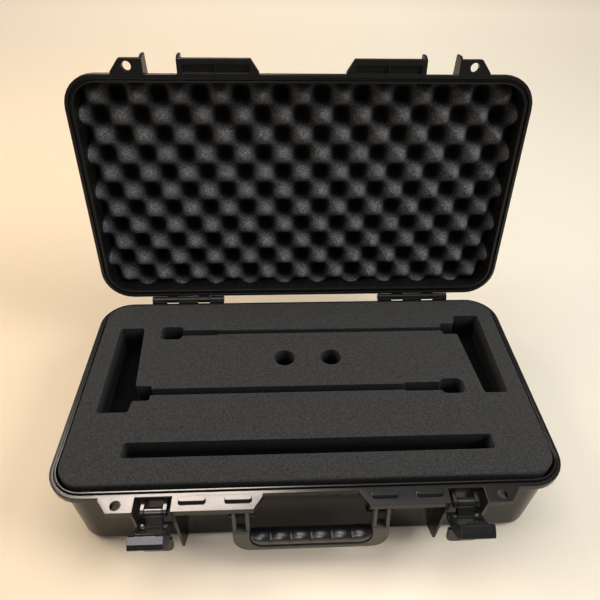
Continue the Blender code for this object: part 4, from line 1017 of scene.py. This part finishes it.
def add_lamp(name, place, target, size, watts, colour, lights=True, mirrored=True):
    """A rectangular area lamp at a place, facing a target."""
    data = bpy.data.lights.new(name, "AREA")
    data.shape = "RECTANGLE"
    data.size, data.size_y = size
    data.energy = watts
    data.color = colour
    lamp = bpy.data.objects.new(name, data)
    bpy.context.scene.collection.objects.link(lamp)
    lamp.location = place
    lamp.rotation_euler = (Vector(target) - Vector(place)).to_track_quat("-Z", "Y").to_euler()
    lamp.visible_diffuse = lights
    lamp.visible_glossy = mirrored


add_lamp("overhead", (0.0, 0.16, 2.3), CASE, (2.0, 1.5), 27.0, CREAM_WHITE)
add_lamp("right", (1.35, -0.45, 1.45), CASE, (0.8, 0.8), 20.0, COOL_WHITE, mirrored=False)
add_lamp("left", (-1.5, 0.3, 1.5), CASE, (1.0, 0.8), 18.0, WARM_WHITE, mirrored=False)
window_place = (-0.46, 0.80, 1.78)
add_lamp("back left", window_place, FRONT_PLATE, (0.78, 0.45), 60.0, WINDOW_WHITE, lights=False)
add_lamp("front", (-0.75, -1.6, 2.05), CASE, (1.5, 0.8), 30.0, FRONT_WHITE, lights=False)
print("lamps:", len(bpy.data.lights))

# %% [markdown]
# The world fills in from all sides with a weak, cool light. The camera sees it much brighter
# and in the floor's cream, so the background is as pale as the floor.

# %% World
FILL_LIGHT = 0.12
FILL_COLOUR, BACKGROUND_COLOUR = (0.95, 0.97, 1.0), (0.93, 0.84, 0.70)

world = bpy.data.worlds.new("studio")
bpy.context.scene.world = world
world.use_nodes = True
sky = world.node_tree
background = sky.nodes["Background"]
eye = sky.nodes.new("ShaderNodeLightPath").outputs["Is Camera Ray"]
feed(sky, background.inputs["Color"], blend(sky, eye, FILL_COLOUR, BACKGROUND_COLOUR))
strength = work(sky, "MULTIPLY_ADD", eye, 1.0 - FILL_LIGHT, FILL_LIGHT)
feed(sky, background.inputs["Strength"], strength)
print("world:", world.name)

# %% [markdown]
# ## The camera
#
# The camera looks down into the open case from the front. Its place and three angles were
# worked out from where the case's own corners lie in the picture: the pitch down, the yaw to
# the right, and a slight roll. Forward comes from pitch and yaw, and the roll then turns the
# level line and the line across it about forward.

# %% Camera
CAMERA_PLACE = (-0.02673, -0.43173, 0.61922)
PITCH, YAW, ROLL = 0.7171, 0.0604, 0.0255
SENSOR_WIDTH, LENS = 36.0, 32.678
SHIFT_X, SHIFT_Y = -0.01196, 0.00047

flat = math.cos(PITCH)
forward = Vector((math.sin(YAW) * flat, math.cos(YAW) * flat, -math.sin(PITCH)))
level = Vector((math.cos(YAW), -math.sin(YAW), 0.0))
upward = level.cross(forward)
right = math.cos(ROLL) * level + math.sin(ROLL) * upward
up = -math.sin(ROLL) * level + math.cos(ROLL) * upward
turned = Matrix((right, up, -forward)).transposed().to_4x4()
camera = bpy.data.objects.new("camera", bpy.data.cameras.new("camera"))
bpy.context.scene.collection.objects.link(camera)
camera.matrix_world = Matrix.Translation(CAMERA_PLACE) @ turned
camera.data.sensor_width = SENSOR_WIDTH
camera.data.lens = LENS
camera.data.shift_x = SHIFT_X
camera.data.shift_y = SHIFT_Y
bpy.context.scene.camera = camera
bpy.context.scene.view_settings.view_transform = "Standard"
print("camera at", CAMERA_PLACE)
